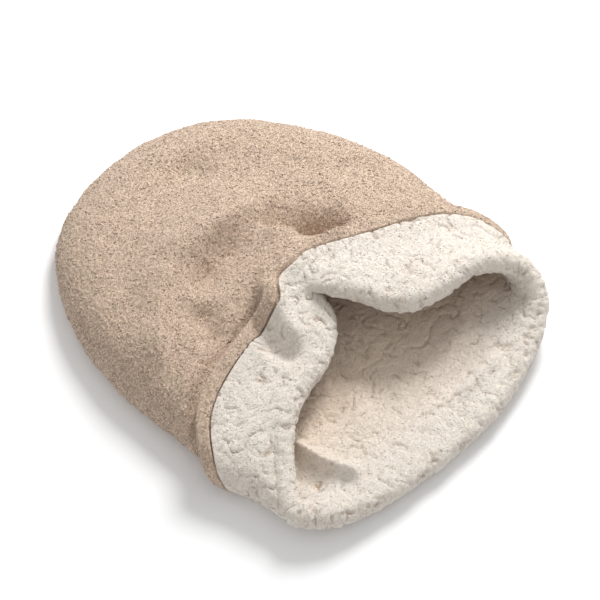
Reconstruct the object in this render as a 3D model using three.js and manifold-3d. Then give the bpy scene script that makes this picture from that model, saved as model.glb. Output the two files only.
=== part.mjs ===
// Burrow blanket for a dog: a round-ended sack of tan curly fleece with a cream plush lining, lying on a
// surface with its mouth folded back as a wide cuff. Millimetres, +Z up, the mouth towards -Y.
// Shell and lining lie on the two sides of one middle surface. That surface is a grid: columns run from
// the closed end over the lip to the cuff's free edge, and rows run once round the sack.
import * as THREE from "three";
import Module from "manifold-3d";

const wasm = await Module();
wasm.setup();

// Cloth and sewing
const SHELL_THICKNESS = 4.5;
const LINING_THICKNESS = 5.5;
const PIECE_GAP = 0.8;
const SEAM_GAP = 1.6;
const PRESS_GAP = 0.5;
const HEM_WIDTH = 16;
const HEM_ROUNDING = 3;
const SEAM_HEIGHT = 18;

// The cuff lies back over the wall at this height, and its fold is taller
const CUFF_HEIGHT = 10;
const FOLD_FADE = 60;
const CUFF_TURN = 30;
const CUFF_SLOPE = 36;
const SEAM_LOFT = 4;
const SEAM_LOFT_COLUMNS = 4;

// The sack's body
const CROWN_HEIGHT = 60;
const CROWN_DROP = 20;
const CROWN_DROP_FROM = 60;
const CROWN_DROP_LENGTH = 220;
const TOP_SHOULDER = 60;
const BASE_SHOULDER = 22;
const RELIEF_EDGE = 45;
const LIP_CALM = 22;
const VALLEY_CALM = 60;
const REST_SOFTNESS = 3;
const SEAM_CLEARANCE = 12.5;
const TOP_CLEARANCE = 9;

// Grid: columns on each panel, rows of the body, of the wall behind the lip, of the fold and of the cuff
const PANEL_COLUMNS = 19;
const BODY_ROWS = 9;
const WALL_ROWS = 8;
const FOLD_ROWS = 4;
const CUFF_ROWS = 6;
const CLUSTER = 0.5;
const LIP_PULL = 0.6;
const BEND_SHARE = 0.5;
const SMOOTHING_PASSES = 2;
const TIGHT_PASSES = 5;
const TIGHT_COLUMNS = 3;
const SEAM_SAMPLES = 120;
const CREASE_SAMPLES = 16;

// The grid's middle in plan, moved to the origin
const PLAN_MIDDLE = { x: 2.65, y: -0.1 };
// The shell's underside is pressed flat on the ground where it comes this close to it
const GROUND_REACH = 2;

// The side seam in plan, from the mouth's left end round the closed end to its right end
const SIDE_SEAM = [
  { x: -213, y: -118 },
  { x: -219, y: -66 },
  { x: -222, y: -5 },
  { x: -219, y: 60 },
  { x: -205, y: 122 },
  { x: -178, y: 184 },
  { x: -139, y: 237 },
  { x: -84, y: 270 },
  { x: -20, y: 283 },
  { x: 40, y: 278 },
  { x: 94, y: 257 },
  { x: 140, y: 216 },
  { x: 176, y: 160 },
  { x: 203, y: 98 },
  { x: 221, y: 28 },
  { x: 227, y: -34 },
  { x: 222, y: -110 },
];
// Rows of the side seam between which the grid's columns begin
const END_FROM = 5;
const END_TO = 11.5;

// Round the mouth: the lip's crest, the way the lip points, the fold's radius, the cuff's width and the
// place in plan where the body ends and the wall behind the lip begins
const MOUTH = [
  { name: "left seam", crest: [-190, -213, 38], lip: [0.1, -0.3, 0.9],
    fold: 8.5, cuff: 94, wall: [-213, -118] },
  { name: "corner", crest: [-172, -182, 43], lip: [0.35, -0.45, 0.8],
    fold: 8.5, cuff: 98, wall: [-210, -94] },
  { name: "left low", crest: [-150, -157, 49], lip: [0.5, -0.6, 0.6],
    fold: 9, cuff: 104, wall: [-202, -68] },
  { name: "left roll", crest: [-125, -136, 55], lip: [0.45, -0.7, 0.5],
    fold: 9.5, cuff: 102, wall: [-184, -40] },
  { name: "left high", crest: [-100, -122, 56], lip: [0.3, -0.8, 0.5],
    fold: 9, cuff: 100, wall: [-158, -16] },
  { name: "tongue foot", crest: [-66, -114, 55], lip: [0.4, -0.75, 0.4],
    fold: 8.5, cuff: 100, wall: [-130, 0] },
  { name: "tongue low", crest: [-34, -108, 55], lip: [0.7, -0.6, 0.1],
    fold: 8, cuff: 98, wall: [-104, 12] },
  { name: "tongue", crest: [-10, -92, 58], lip: [0.9, -0.4, 0], fold: 8, cuff: 92, wall: [-84, 22] },
  { name: "tongue tip", crest: [9, -70, 58], lip: [0.97, 0.2, 0], fold: 7.5, cuff: 84, wall: [-68, 28] },
  { name: "under the lip", crest: [7.8, -41.2, 60], lip: [0.65, 0.3, 0.03],
    fold: 5.1, cuff: 73, wall: [-51, 36] },
  { name: "inner corner", crest: [-11.3, -27.7, 69.1], lip: [0.58, -0.12, 0.17],
    fold: 4.3, cuff: 52, wall: [-43, 30] },
  { name: "lip turn", crest: [-11.4, -32.3, 79.7], lip: [-0.1, -0.57, -0.23],
    fold: 6.3, cuff: 49, wall: [-29, 41] },
  { name: "lip left", crest: [-0.5, -39.3, 87.4], lip: [-0.43, -0.68, -0.56],
    fold: 6.5, cuff: 49, wall: [-15, 35] },
  { name: "dip left", crest: [16, -70, 86], lip: [-0.75, -0.6, -0.2], fold: 8.5, cuff: 80, wall: [8, 36] },
  { name: "dip", crest: [36, -108, 83], lip: [-0.7, -0.7, -0.2], fold: 8.5, cuff: 108, wall: [36, 30] },
  { name: "dip right", crest: [68, -142, 83], lip: [-0.4, -0.88, -0.15],
    fold: 8.5, cuff: 118, wall: [74, 16] },
  { name: "crown left", crest: [108, -148, 87], lip: [0, -1, 0], fold: 8.5, cuff: 112, wall: [114, -2] },
  { name: "crown", crest: [148, -152, 89], lip: [0, -1, 0.1], fold: 8.5, cuff: 104, wall: [154, -20] },
  { name: "right crown", crest: [180, -170, 82], lip: [0.05, -0.98, 0.15],
    fold: 8.5, cuff: 102, wall: [188, -44] },
  { name: "right top", crest: [199, -192, 68], lip: [0.2, -0.95, 0.15],
    fold: 8.5, cuff: 100, wall: [210, -76] },
  { name: "right seam", crest: [197, -215, 48], lip: [0.2, -0.95, 0.1],
    fold: 8.5, cuff: 98, wall: [222, -110] },
  { name: "right low", crest: [186, -236, 34], lip: [0.2, -0.95, 0],
    fold: 8.5, cuff: 92, wall: [196, -102] },
  { name: "front right", crest: [158, -253, 24], lip: [0.15, -0.97, 0.05],
    fold: 8, cuff: 88, wall: [152, -98] },
  { name: "front 4", crest: [108, -270, 18], lip: [0.1, -0.99, 0.05],
    fold: 7.5, cuff: 86, wall: [100, -96] },
  { name: "front 3", crest: [38, -281, 16], lip: [0.04, -1, 0], fold: 7, cuff: 86, wall: [34, -94] },
  { name: "front 2", crest: [-54, -279, 17], lip: [-0.04, -1, 0.1], fold: 7.5, cuff: 86, wall: [-34, -94] },
  { name: "front 1", crest: [-128, -267, 21], lip: [-0.12, -0.95, 0.2],
    fold: 7.5, cuff: 86, wall: [-90, -94] },
  { name: "front left", crest: [-171, -245, 29], lip: [-0.3, -0.85, 0.35],
    fold: 8, cuff: 90, wall: [-150, -98] },
];
const MOUTH_RIGHT_SEAM = MOUTH.findIndex((row) => row.name === "right seam");

// Creases: a curve in plan by its start, bend and end, its half width to the left and to the right of that
// way, the share of its length over which each end fades, and its height (a trough's is negative)
const BODY_CREASES = [
  { name: "mouth crown", from: [40, -30], bend: [120, -50], to: [230, -110],
    left: 70, right: 70, fade: 0, height: 18 },
  { name: "centre ridge", from: [-150, 124], bend: [-40, 124], to: [70, 112],
    left: 34, right: 30, fade: 0.3, height: 9 },
  { name: "dark spot", from: [-90, 60], bend: [-55, 80], to: [0, 84],
    left: 20, right: 22, fade: 0.3, height: -9 },
  { name: "under ridge", from: [-90, -10], bend: [-40, 34], to: [40, 16],
    left: 24, right: 26, fade: 0.25, height: 10 },
  { name: "side crease", from: [-70, 100], bend: [-150, 90], to: [-205, -25],
    left: 18, right: 18, fade: 0.2, height: 6 },
  { name: "back hollow", from: [-20, 210], bend: [20, 204], to: [70, 190],
    left: 26, right: 26, fade: 0.3, height: -5 },
  { name: "side hollow", from: [-170, 90], bend: [-150, 70], to: [-140, 30],
    left: 22, right: 22, fade: 0.3, height: -5 },
  { name: "right hollow", from: [120, 40], bend: [165, 10], to: [200, -40],
    left: 30, right: 26, fade: 0.3, height: -8 },
];
const FLOOR_CREASES = [
  { name: "pocket ridge", from: [-128, -140], bend: [-126, -180], to: [-112, -226],
    left: 13, right: 13, fade: 0.2, height: 20 },
];
const LIP_CREASES = [
  { name: "lobe ridge", from: [-20, -8], bend: [-58, -36], to: [-48, -92],
    left: 20, right: 18, fade: 0.12, height: 20 },
  { name: "dent", from: [-70, -34], bend: [-84, -62], to: [-70, -86],
    left: 18, right: 14, fade: 0.25, height: -14 },
];
const VALLEY_CREASES = [
  { name: "lip valley", from: [104, -14], bend: [66, 22], to: [34, 62],
    left: 17, right: 16, fade: 0.25, height: -26 },
];

const LOOP_COLUMNS = 2 * PANEL_COLUMNS;

const clamp = (value, low, high) => Math.min(Math.max(value, low), high);

function smoothStep(value) {
  const t = clamp(value, 0, 1);
  return t * t * (3 - 2 * t);
}

// The larger of two heights, rounded where they are within a softness of each other
function softMax(a, b, softness) {
  const difference = a - b;
  if (difference > softness) {
    return a;
  }
  if (difference < -softness) {
    return b;
  }
  const share = difference / softness + 1;
  return b + (softness * share * share) / 4;
}

// Hermite weights of two end points and their two tangents
function hermiteWeights(t) {
  const t2 = t * t;
  const t3 = t2 * t;
  return [2 * t3 - 3 * t2 + 1, t3 - 2 * t2 + t, -2 * t3 + 3 * t2, t3 - t2];
}

// A smooth curve through rows of numbers, open or closed, at a place counted in rows
function curveThrough(rows, place, closed) {
  const count = rows.length;
  const start = closed ? Math.floor(place) : clamp(Math.floor(place), 0, count - 2);
  const row = (index) => {
    if (closed) {
      return rows[(index + count) % count];
    }
    if (index < 0) {
      return rows[0].map((value, k) => 2 * value - rows[1][k]);
    }
    if (index > count - 1) {
      return rows[count - 1].map((value, k) => 2 * value - rows[count - 2][k]);
    }
    return rows[index];
  };
  const [before, a, b, after] = [row(start - 1), row(start), row(start + 1), row(start + 2)];
  const [wa, ta, wb, tb] = hermiteWeights(place - start);
  return a.map((value, k) => {
    const tangentA = (b[k] - before[k]) / 2;
    const tangentB = (after[k] - a[k]) / 2;
    return wa * value + ta * tangentA + wb * b[k] + tb * tangentB;
  });
}

// Nearest point of a line of plan points: the distance and the side it lies on
function nearestOnLine(x, y, line) {
  let best = { distance: Infinity, share: 0, side: 0 };
  for (let k = 0; k < line.length - 1; k++) {
    const [ax, ay] = line[k];
    const dx = line[k + 1][0] - ax;
    const dy = line[k + 1][1] - ay;
    const t = clamp(((x - ax) * dx + (y - ay) * dy) / (dx * dx + dy * dy), 0, 1);
    const ox = x - ax - t * dx;
    const oy = y - ay - t * dy;
    const distance = Math.hypot(ox, oy);
    if (distance < best.distance) {
      best = { distance, share: (k + t) / (line.length - 1), side: Math.sign(dx * oy - dy * ox) };
    }
  }
  return best;
}

function creaseLine({ from, bend, to }) {
  return Array.from({ length: CREASE_SAMPLES + 1 }, (_, k) => {
    const t = k / CREASE_SAMPLES;
    const s = 1 - t;
    return [0, 1].map((axis) => s * s * from[axis] + 2 * s * t * bend[axis] + t * t * to[axis]);
  });
}

function withLines(creases) {
  return creases.map((crease) => ({ ...crease, line: creaseLine(crease) }));
}

// Sum of soft ridges and troughs at a place in plan
function reliefAt(x, y, creases) {
  let height = 0;
  for (const crease of creases) {
    const { distance, share, side } = nearestOnLine(x, y, crease.line);
    const width = side > 0 ? crease.left : crease.right;
    const fadeIn = (length) => (crease.fade > 0 ? smoothStep(length / crease.fade) : 1);
    const ends = fadeIn(share) * fadeIn(1 - share);
    height += crease.height * ends * Math.exp(-((distance / width) ** 2));
  }
  return height;
}

// Arc lengths of a column back from its last point
function lengthsBack(column) {
  const back = new Array(column.length).fill(0);
  for (let i = column.length - 2; i >= 0; i--) {
    back[i] = back[i + 1] + column[i].distanceTo(column[i + 1]);
  }
  return back;
}

// A vector between two rows of a column, at an arc length back from its last point
function vectorAt(vectors, back, length) {
  let i = vectors.length - 1;
  while (i > 1 && back[i - 1] < length) {
    i -= 1;
  }
  const span = back[i - 1] - back[i];
  const t = clamp(span > 0 ? (length - back[i]) / span : 0, 0, 1);
  return vectors[i].clone().lerp(vectors[i - 1], t);
}

const columnOf = (grid, j) => grid.map((row) => row[j]);
const isTop = (j) => j <= PANEL_COLUMNS;

// Outward normals of a grid whose columns close round the sack; its first row is met by both panels
function gridNormals(grid) {
  const normals = grid.map((row) => row.map(() => new THREE.Vector3()));
  for (let i = 0; i < grid.length - 1; i++) {
    for (let j = 0; j < LOOP_COLUMNS; j++) {
      const next = (j + 1) % LOOP_COLUMNS;
      const across = grid[i + 1][j].clone().sub(grid[i][next]);
      const along = grid[i + 1][next].clone().sub(grid[i][j]);
      const face = across.cross(along).normalize();
      for (const [row, column] of [[i, j], [i, next], [i + 1, j], [i + 1, next]]) {
        normals[row][column].add(face);
      }
    }
  }
  const first = normals[0].map((normal) => normal.clone());
  normals[0].forEach((normal, j) => normal.add(first[(LOOP_COLUMNS - j) % LOOP_COLUMNS]));
  normals.forEach((row) => row.forEach((normal) => normal.normalize()));
  return normals;
}

// Soft averaging of the rows from first up to, not including, last, by a share for each column
function smoothRows(grid, first, last, passes = SMOOTHING_PASSES, shareOf = () => 1) {
  for (let pass = 0; pass < passes; pass++) {
    const before = grid.map((row) => row.map((point) => point.clone()));
    for (let i = first; i < last; i++) {
      for (let j = 0; j < LOOP_COLUMNS; j++) {
        const left = before[i][(j + LOOP_COLUMNS - 1) % LOOP_COLUMNS];
        const right = before[i][(j + 1) % LOOP_COLUMNS];
        const atEnd = i === grid.length - 1;
        const above = atEnd ? before[i][j] : before[i - 1][j];
        const below = atEnd ? before[i][j] : before[i + 1][j];
        const mean = left.clone().add(right).add(above).add(below).divideScalar(4);
        grid[i][j].lerp(mean, shareOf(j) / 2);
      }
    }
  }
}

// Shares from 0 to 1, closer together at both ends or only at the first
const columnShares = Array.from({ length: PANEL_COLUMNS + 1 }, (_, j) => {
  const t = j / PANEL_COLUMNS;
  return (1 - CLUSTER) * t + (CLUSTER * (1 - Math.cos(Math.PI * t))) / 2;
});
const bodyShares = Array.from({ length: BODY_ROWS + 1 }, (_, i) => {
  const t = i / BODY_ROWS;
  return (1 - CLUSTER) * t + CLUSTER * (1 - Math.cos((Math.PI * t) / 2));
});

// One station of the mouth for each column of the loop
function mouthStations() {
  const rows = MOUTH.map(({ crest, lip, fold, cuff, wall }) => [...crest, ...lip, fold, cuff, ...wall]);
  const places = [];
  for (const share of columnShares.slice(0, -1)) {
    places.push(share * MOUTH_RIGHT_SEAM);
  }
  for (const share of columnShares.slice(0, -1)) {
    places.push(MOUTH_RIGHT_SEAM + share * (MOUTH.length - MOUTH_RIGHT_SEAM));
  }
  return places.map((place) => {
    const values = curveThrough(rows, place, true);
    return {
      crest: new THREE.Vector3(...values.slice(0, 3)),
      lip: new THREE.Vector3(...values.slice(3, 6)).normalize(),
      fold: values[6],
      cuff: values[7],
      wall: values.slice(8, 10),
    };
  });
}

// Directions and centres of the fold at each station
function addFoldFrames(stations) {
  stations.forEach((station, j) => {
    const after = stations[(j + 1) % LOOP_COLUMNS].crest;
    const before = stations[(j + LOOP_COLUMNS - 1) % LOOP_COLUMNS].crest;
    const along = after.clone().sub(before).normalize();
    station.lip.addScaledVector(along, -station.lip.dot(along)).normalize();
    station.outward = station.lip.clone().cross(along).normalize();
    station.centre = station.crest.clone().addScaledVector(station.lip, -station.fold);
    station.start = station.centre.clone().addScaledVector(station.outward, -station.fold);
  });
}

// Height of the middle surface in plan, on the upper or the lower panel
function bodyHeight(x, y, seamDistance, top) {
  const shoulder = top ? TOP_SHOULDER : BASE_SHOULDER;
  const inset = 1 - clamp(seamDistance / shoulder, 0, 1);
  const rise = Math.sqrt(1 - inset * inset);
  const calm = smoothStep(seamDistance / RELIEF_EDGE);
  if (!top) {
    return SEAM_HEIGHT + (SHELL_THICKNESS - SEAM_HEIGHT) * rise + calm * reliefAt(x, y, floorCreases);
  }
  const drop = clamp((y - CROWN_DROP_FROM) / CROWN_DROP_LENGTH, 0, 1);
  const crown = CROWN_HEIGHT - CROWN_DROP * drop * drop;
  return SEAM_HEIGHT + (crown - SEAM_HEIGHT) * rise + calm * reliefAt(x, y, bodyCreases);
}

// Rows of the sack's body, from the closed end to where the wall behind the lip begins
function bodyGrid(stations) {
  const seam = SIDE_SEAM.map(({ x, y }) => [x, y]);
  const seamEnd = seam.length - 1;
  const seamLine = Array.from({ length: SEAM_SAMPLES + 1 }, (_, k) =>
    curveThrough(seam, (k / SEAM_SAMPLES) * seamEnd, false));
  const wallAt = (j) => stations[j % LOOP_COLUMNS].wall;
  return bodyShares.map((v, i) => {
    const left = curveThrough(seam, END_FROM * (1 - v), false);
    const right = curveThrough(seam, END_TO + (seamEnd - END_TO) * v, false);
    return Array.from({ length: LOOP_COLUMNS }, (_, j) => {
      const column = isTop(j) ? j : LOOP_COLUMNS - j;
      const u = columnShares[column];
      const end = curveThrough(seam, END_FROM + (END_TO - END_FROM) * u, false);
      const endLeft = curveThrough(seam, END_FROM, false);
      const endRight = curveThrough(seam, END_TO, false);
      const [x, y] = [0, 1].map((k) => {
        const sides = (1 - u) * left[k] + u * right[k];
        const ends = (1 - v) * end[k] + v * wallAt(j)[k];
        const corners = (1 - v) * ((1 - u) * endLeft[k] + u * endRight[k])
          + v * ((1 - u) * wallAt(0)[k] + u * wallAt(PANEL_COLUMNS)[k]);
        return sides + ends - corners;
      });
      const onSeam = i === 0 || column === 0 || column === PANEL_COLUMNS;
      const seamDistance = onSeam ? 0 : nearestOnLine(x, y, seamLine).distance;
      return new THREE.Vector3(x, y, bodyHeight(x, y, seamDistance, isTop(j)));
    });
  });
}

// Rows from the body's last row to the start of the lip's fold
function wallGrid(body, stations) {
  const last = body[body.length - 1];
  const earlier = body[body.length - 3];
  return Array.from({ length: WALL_ROWS }, (_, i) => {
    const [wa, ta, wb, tb] = hermiteWeights((i + 1) / WALL_ROWS);
    return stations.map((station, j) => {
      const reach = station.start.distanceTo(last[j]);
      const heading = last[j].clone().sub(earlier[j]).normalize();
      return last[j].clone().multiplyScalar(wa)
        .addScaledVector(heading, ta * reach)
        .addScaledVector(station.start, wb)
        .addScaledVector(station.lip, tb * reach * LIP_PULL);
    });
  });
}

// Height of the lower side of the sack over the ground, or over the turned-under cuff, down one column
function restHeights(grid, stations, j) {
  const back = lengthsBack(columnOf(grid, j));
  return back.map((length) => {
    const overCuff = smoothStep((stations[j].cuff + CUFF_SLOPE - length) / CUFF_SLOPE);
    return SHELL_THICKNESS + (CUFF_HEIGHT + 1) * overCuff;
  });
}

// Behind the lip the side seam stays clear of the base, and both panels round off towards it
function roundSeam(grid, stations, seamColumn) {
  const seamRest = restHeights(grid, stations, seamColumn);
  grid.forEach((row, i) => {
    row[seamColumn].z = softMax(row[seamColumn].z, seamRest[i] + SEAM_CLEARANCE, REST_SOFTNESS);
  });
  const line = columnOf(grid, seamColumn).map(({ x, y }) => [x, y]);
  for (let j = 0; j < LOOP_COLUMNS; j++) {
    const after = (j - seamColumn + LOOP_COLUMNS) % LOOP_COLUMNS;
    const away = Math.min(after, LOOP_COLUMNS - after);
    if (away === 0 || away > PANEL_COLUMNS / 2) {
      continue;
    }
    const rest = restHeights(grid, stations, j);
    for (let i = BODY_ROWS; i < grid.length; i++) {
      const point = grid[i][j];
      const inset = 1 - clamp(nearestOnLine(point.x, point.y, line).distance / BASE_SHOULDER, 0, 1);
      const rise = Math.sqrt(1 - inset * inset);
      const seamHeight = grid[i][seamColumn].z;
      const lift = isTop(j) ? TOP_CLEARANCE : rest[i] - seamHeight;
      const lowest = seamHeight + lift * rise;
      point.z = Math.max(point.z, lowest);
    }
  }
}

// The base lies over the turned-under cuff, and the lip's own creases are added
function seatWall(grid, stations) {
  roundSeam(grid, stations, 0);
  roundSeam(grid, stations, PANEL_COLUMNS);
  stations.forEach((station, j) => {
    const back = lengthsBack(columnOf(grid, j));
    const rest = restHeights(grid, stations, j);
    columnOf(grid, j).forEach((point, i) => {
      point.z = softMax(point.z, rest[i], REST_SOFTNESS);
      if (isTop(j)) {
        point.z += reliefAt(point.x, point.y, lipCreases) * smoothStep(back[i] / LIP_CALM);
      }
    });
  });
}

function foldGrid(stations) {
  return Array.from({ length: FOLD_ROWS }, (_, i) => {
    const angle = (Math.PI * (i + 1)) / FOLD_ROWS;
    return stations.map(({ centre, outward, lip, fold }) => centre.clone()
      .addScaledVector(outward, -fold * Math.cos(angle))
      .addScaledVector(lip, fold * Math.sin(angle)));
  });
}

// 1 on a side seam, falling to 0 a few columns away
function seamCloseness(j) {
  const away = Math.min(j, LOOP_COLUMNS - j, Math.abs(j - PANEL_COLUMNS));
  return 1 - smoothStep(away / SEAM_LOFT_COLUMNS);
}

// Evenly spaced rows of the cuff, lying back over the wall
function cuffGrid(wall, stations, foldEnd) {
  const normals = gridNormals(wall);
  const rows = [foldEnd];
  for (let i = 1; i <= CUFF_ROWS; i++) {
    rows.push(stations.map((station, j) => {
      const back = lengthsBack(columnOf(wall, j));
      const length = (station.cuff * i) / CUFF_ROWS;
      const under = vectorAt(columnOf(wall, j), back, length);
      const normal = vectorAt(columnOf(normals, j), back, length);
      const outward = station.outward.clone().lerp(normal, smoothStep(length / CUFF_TURN)).normalize();
      const fade = 1 - smoothStep(length / FOLD_FADE);
      const loft = CUFF_HEIGHT + SEAM_LOFT * seamCloseness(j) * smoothStep(length / CUFF_TURN);
      const height = loft + (2 * station.fold - CUFF_HEIGHT) * fade;
      return under.addScaledVector(outward, height);
    }));
  }
  smoothRows(rows, 1, CUFF_ROWS + 1);
  for (const point of rows.flat()) {
    point.z = Math.max(point.z, LINING_THICKNESS);
  }
  return rows;
}

// The cuff's rows at the places that its hem needs, as distances from the free edge
const LINING_EDGE = HEM_WIDTH + 2 * PIECE_GAP;
const HEM_STEP = HEM_WIDTH + PIECE_GAP;
const CUFF_EDGE_ROWS = [LINING_EDGE, HEM_STEP, HEM_WIDTH, HEM_ROUNDING, 0];
const CUFF_OPEN_ROWS = CUFF_ROWS - 2;

function cuffWithHem(cuff, stations) {
  const columns = stations.map((station, j) => {
    const column = columnOf(cuff, j);
    const at = (length) => {
      const place = clamp((length / station.cuff) * CUFF_ROWS, 0, CUFF_ROWS);
      const k = Math.min(Math.floor(place), CUFF_ROWS - 1);
      return column[k].clone().lerp(column[k + 1], place - k);
    };
    const open = station.cuff - LINING_EDGE;
    const openShare = (k) => (k + 1) / (CUFF_OPEN_ROWS + 1);
    const lengths = Array.from({ length: CUFF_OPEN_ROWS }, (_, k) => open * openShare(k));
    return [...lengths, ...CUFF_EDGE_ROWS.map((fromEdge) => station.cuff - fromEdge)].map(at);
  });
  return columns[0].map((_, i) => columns.map((column) => column[i]));
}

const bodyCreases = withLines(BODY_CREASES);
const floorCreases = withLines(FLOOR_CREASES);
const lipCreases = withLines(LIP_CREASES);
const valleyCreases = withLines(VALLEY_CREASES);

// The whole middle surface
function middleSurface() {
  const stations = mouthStations();
  addFoldFrames(stations);
  const body = bodyGrid(stations);
  const wall = [...body, ...wallGrid(body, stations)];
  seatWall(wall, stations);
  smoothRows(wall, BODY_ROWS - 2, wall.length - 1);
  const fold = foldGrid(stations);
  const cuff = cuffWithHem(cuffGrid(wall, stations, fold[FOLD_ROWS - 1].map((p) => p.clone())), stations);
  for (let j = 0; j <= PANEL_COLUMNS; j++) {
    const back = lengthsBack(columnOf(wall, j));
    wall.forEach((row, i) => {
      row[j].z += reliefAt(row[j].x, row[j].y, valleyCreases) * smoothStep(back[i] / VALLEY_CALM);
    });
  }
  const surface = [...wall, ...fold, ...cuff];
  const radii = stations.map((station) => station.fold);
  const tightest = radii.indexOf(Math.min(...radii));
  const shareOf = (j) => 1 - smoothStep((Math.abs(j - tightest) - 1) / TIGHT_COLUMNS);
  smoothRows(surface, wall.length - 3, surface.length - CUFF_EDGE_ROWS.length, TIGHT_PASSES, shareOf);
  return surface;
}

const middle = middleSurface();
const outward = gridNormals(middle);
const HEM_ROWS_FROM = middle.length - 3;
const LINING_ROWS = middle.length - CUFF_EDGE_ROWS.length + 1;

// How far the cloth can reach to each side of the middle surface before a tight bend folds it over itself
function bendLimits(grid, normals) {
  const limits = grid.map((row) => row.map(() => ({ outer: Infinity, inner: Infinity })));
  grid.forEach((row, i) => row.forEach((point, j) => {
    const right = (j + 1) % LOOP_COLUMNS;
    const left = (j + LOOP_COLUMNS - 1) % LOOP_COLUMNS;
    const neighbours = [-1, 0, 1].flatMap((step) => [[i + step, left], [i + step, right]]);
    for (const [row2, column2] of [...neighbours, [i + 1, j], [i - 1, j]]) {
      if (row2 < 0 || row2 === grid.length) {
        continue;
      }
      const step = grid[row2][column2].clone().sub(point);
      const turn = normals[row2][column2].clone().sub(normals[i][j]).dot(step) / step.lengthSq();
      const side = turn < 0 ? "outer" : "inner";
      const reach = BEND_SHARE / Math.max(Math.abs(turn), 1e-6);
      for (const [a, b] of [[i, j], [row2, column2]]) {
        limits[a][b][side] = Math.min(limits[a][b][side], reach);
      }
    }
  }));
  return limits;
}

const limits = bendLimits(middle, outward);

// Distances of the shell's two faces from the middle surface; the hem wraps over to the lining's side
function shellFaces(i) {
  const last = middle.length - 1;
  if (i < HEM_ROWS_FROM) {
    return { outer: SHELL_THICKNESS, inner: PIECE_GAP / 2 };
  }
  const rounding = i === last ? HEM_ROUNDING : 0;
  return { outer: SHELL_THICKNESS - rounding, inner: rounding - LINING_THICKNESS };
}

function liningFaces() {
  return { outer: -PIECE_GAP / 2, inner: -LINING_THICKNESS };
}

// A place on a piece's middle surface, drawn in where the piece meets the other panel
function panelPoint(i, columns, place, inset) {
  const inward = clamp(place, 1, columns.length - 2);
  const row = Math.max(i, 1);
  const point = middle[i][columns[place]].clone();
  if (inward === place && row === i) {
    return point;
  }
  const pull = middle[row][columns[inward]].clone().sub(point).normalize();
  return point.addScaledVector(pull, inset);
}

// A closed sheet: its outer and inner faces and the strip round its edge, swollen by a margin
function sheetSolid({ columns, rowCount, facesOf, rests }, margin) {
  const positions = [];
  for (const side of [1, -1]) {
    for (let i = 0; i < rowCount; i++) {
      const faces = facesOf(i);
      const offset = side > 0 ? faces.outer : faces.inner;
      columns.forEach((j, place) => {
        const { outer, inner } = limits[i][j];
        const reach = clamp(offset, -inner, outer) + side * margin;
        const point = panelPoint(i, columns, place, SEAM_GAP / 2 - margin);
        point.addScaledVector(outward[i][j], reach);
        const height = rests && side > 0 && point.z < GROUND_REACH ? 0 : point.z;
        positions.push(point.x - PLAN_MIDDLE.x, point.y - PLAN_MIDDLE.y, height);
      });
    }
  }
  const width = columns.length;
  const innerFrom = rowCount * width;
  const triangles = [];
  const quad = (a, b, c, d) => triangles.push(a, b, c, a, c, d);
  for (let i = 0; i < rowCount - 1; i++) {
    for (let place = 0; place < width - 1; place++) {
      const a = i * width + place;
      quad(a, a + width, a + width + 1, a + 1);
      quad(innerFrom + a, innerFrom + a + 1, innerFrom + a + width + 1, innerFrom + a + width);
    }
  }
  const lastRow = (rowCount - 1) * width;
  const edge = [];
  for (let place = 0; place < width - 1; place++) {
    edge.push([place, place + 1], [lastRow + place + 1, lastRow + place]);
  }
  for (let i = 0; i < rowCount - 1; i++) {
    edge.push([i * width + width - 1, (i + 1) * width + width - 1], [(i + 1) * width, i * width]);
  }
  for (const [a, b] of edge) {
    quad(a, b, innerFrom + b, innerFrom + a);
  }
  return new wasm.Manifold(new wasm.Mesh({
    numProp: 3,
    vertProperties: new Float32Array(positions),
    triVerts: new Uint32Array(triangles),
  }));
}

// Largest body of a solid
function largestBody(solid) {
  return solid.decompose().reduce((best, body) => (body.volume() > best.volume() ? body : best));
}

function solidGeometry(solid) {
  const { vertProperties, triVerts } = solid.getMesh();
  const geometry = new THREE.BufferGeometry();
  geometry.setAttribute("position", new THREE.BufferAttribute(new Float32Array(vertProperties), 3));
  geometry.setIndex(new THREE.BufferAttribute(new Uint32Array(triVerts), 1));
  geometry.computeVertexNormals();
  return geometry;
}

const topColumns = Array.from({ length: PANEL_COLUMNS + 1 }, (_, j) => j);
const baseColumns = Array.from({ length: PANEL_COLUMNS + 1 }, (_, j) => (PANEL_COLUMNS + j) % LOOP_COLUMNS);

const fleece = () => new THREE.MeshStandardMaterial({ color: 0xc8ab91, roughness: 0.95, metalness: 0 });
const plush = () => new THREE.MeshStandardMaterial({ color: 0xe8dfd5, roughness: 0.9, metalness: 0 });

const liningCut = { rowCount: LINING_ROWS, facesOf: liningFaces, rests: false };
const shellCut = { rowCount: middle.length, facesOf: shellFaces, rests: true };
const pieces = [
  { name: "lining_base", columns: baseColumns, material: plush(), ...liningCut },
  { name: "lining_top", columns: topColumns, material: plush(), ...liningCut },
  { name: "shell_base", columns: baseColumns, material: fleece(), ...shellCut },
  { name: "shell_top", columns: topColumns, material: fleece(), ...shellCut },
];

// Where tight folds press two pieces together, the later one gives way
const sack = new THREE.Group();
pieces.forEach((piece, order) => {
  let solid = sheetSolid(piece, 0);
  for (const earlier of pieces.slice(0, order)) {
    solid = solid.subtract(sheetSolid(earlier, PRESS_GAP));
  }
  const mesh = new THREE.Mesh(solidGeometry(largestBody(solid)), piece.material);
  mesh.name = piece.name;
  sack.add(mesh);
});

export default sack;
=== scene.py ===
"""Burrow blanket for a dog: a round-ended sack of tan curly fleece with a cream plush lining.

It lies with its mouth folded back as a wide cuff. Blender works in metres. The tables of the
sack's shape are in millimetres, with the mouth towards -Y.
"""
import logging
import math
from dataclasses import dataclass, field
from enum import Enum

import bpy
import numpy as np
from mathutils import Matrix, Vector


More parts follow.
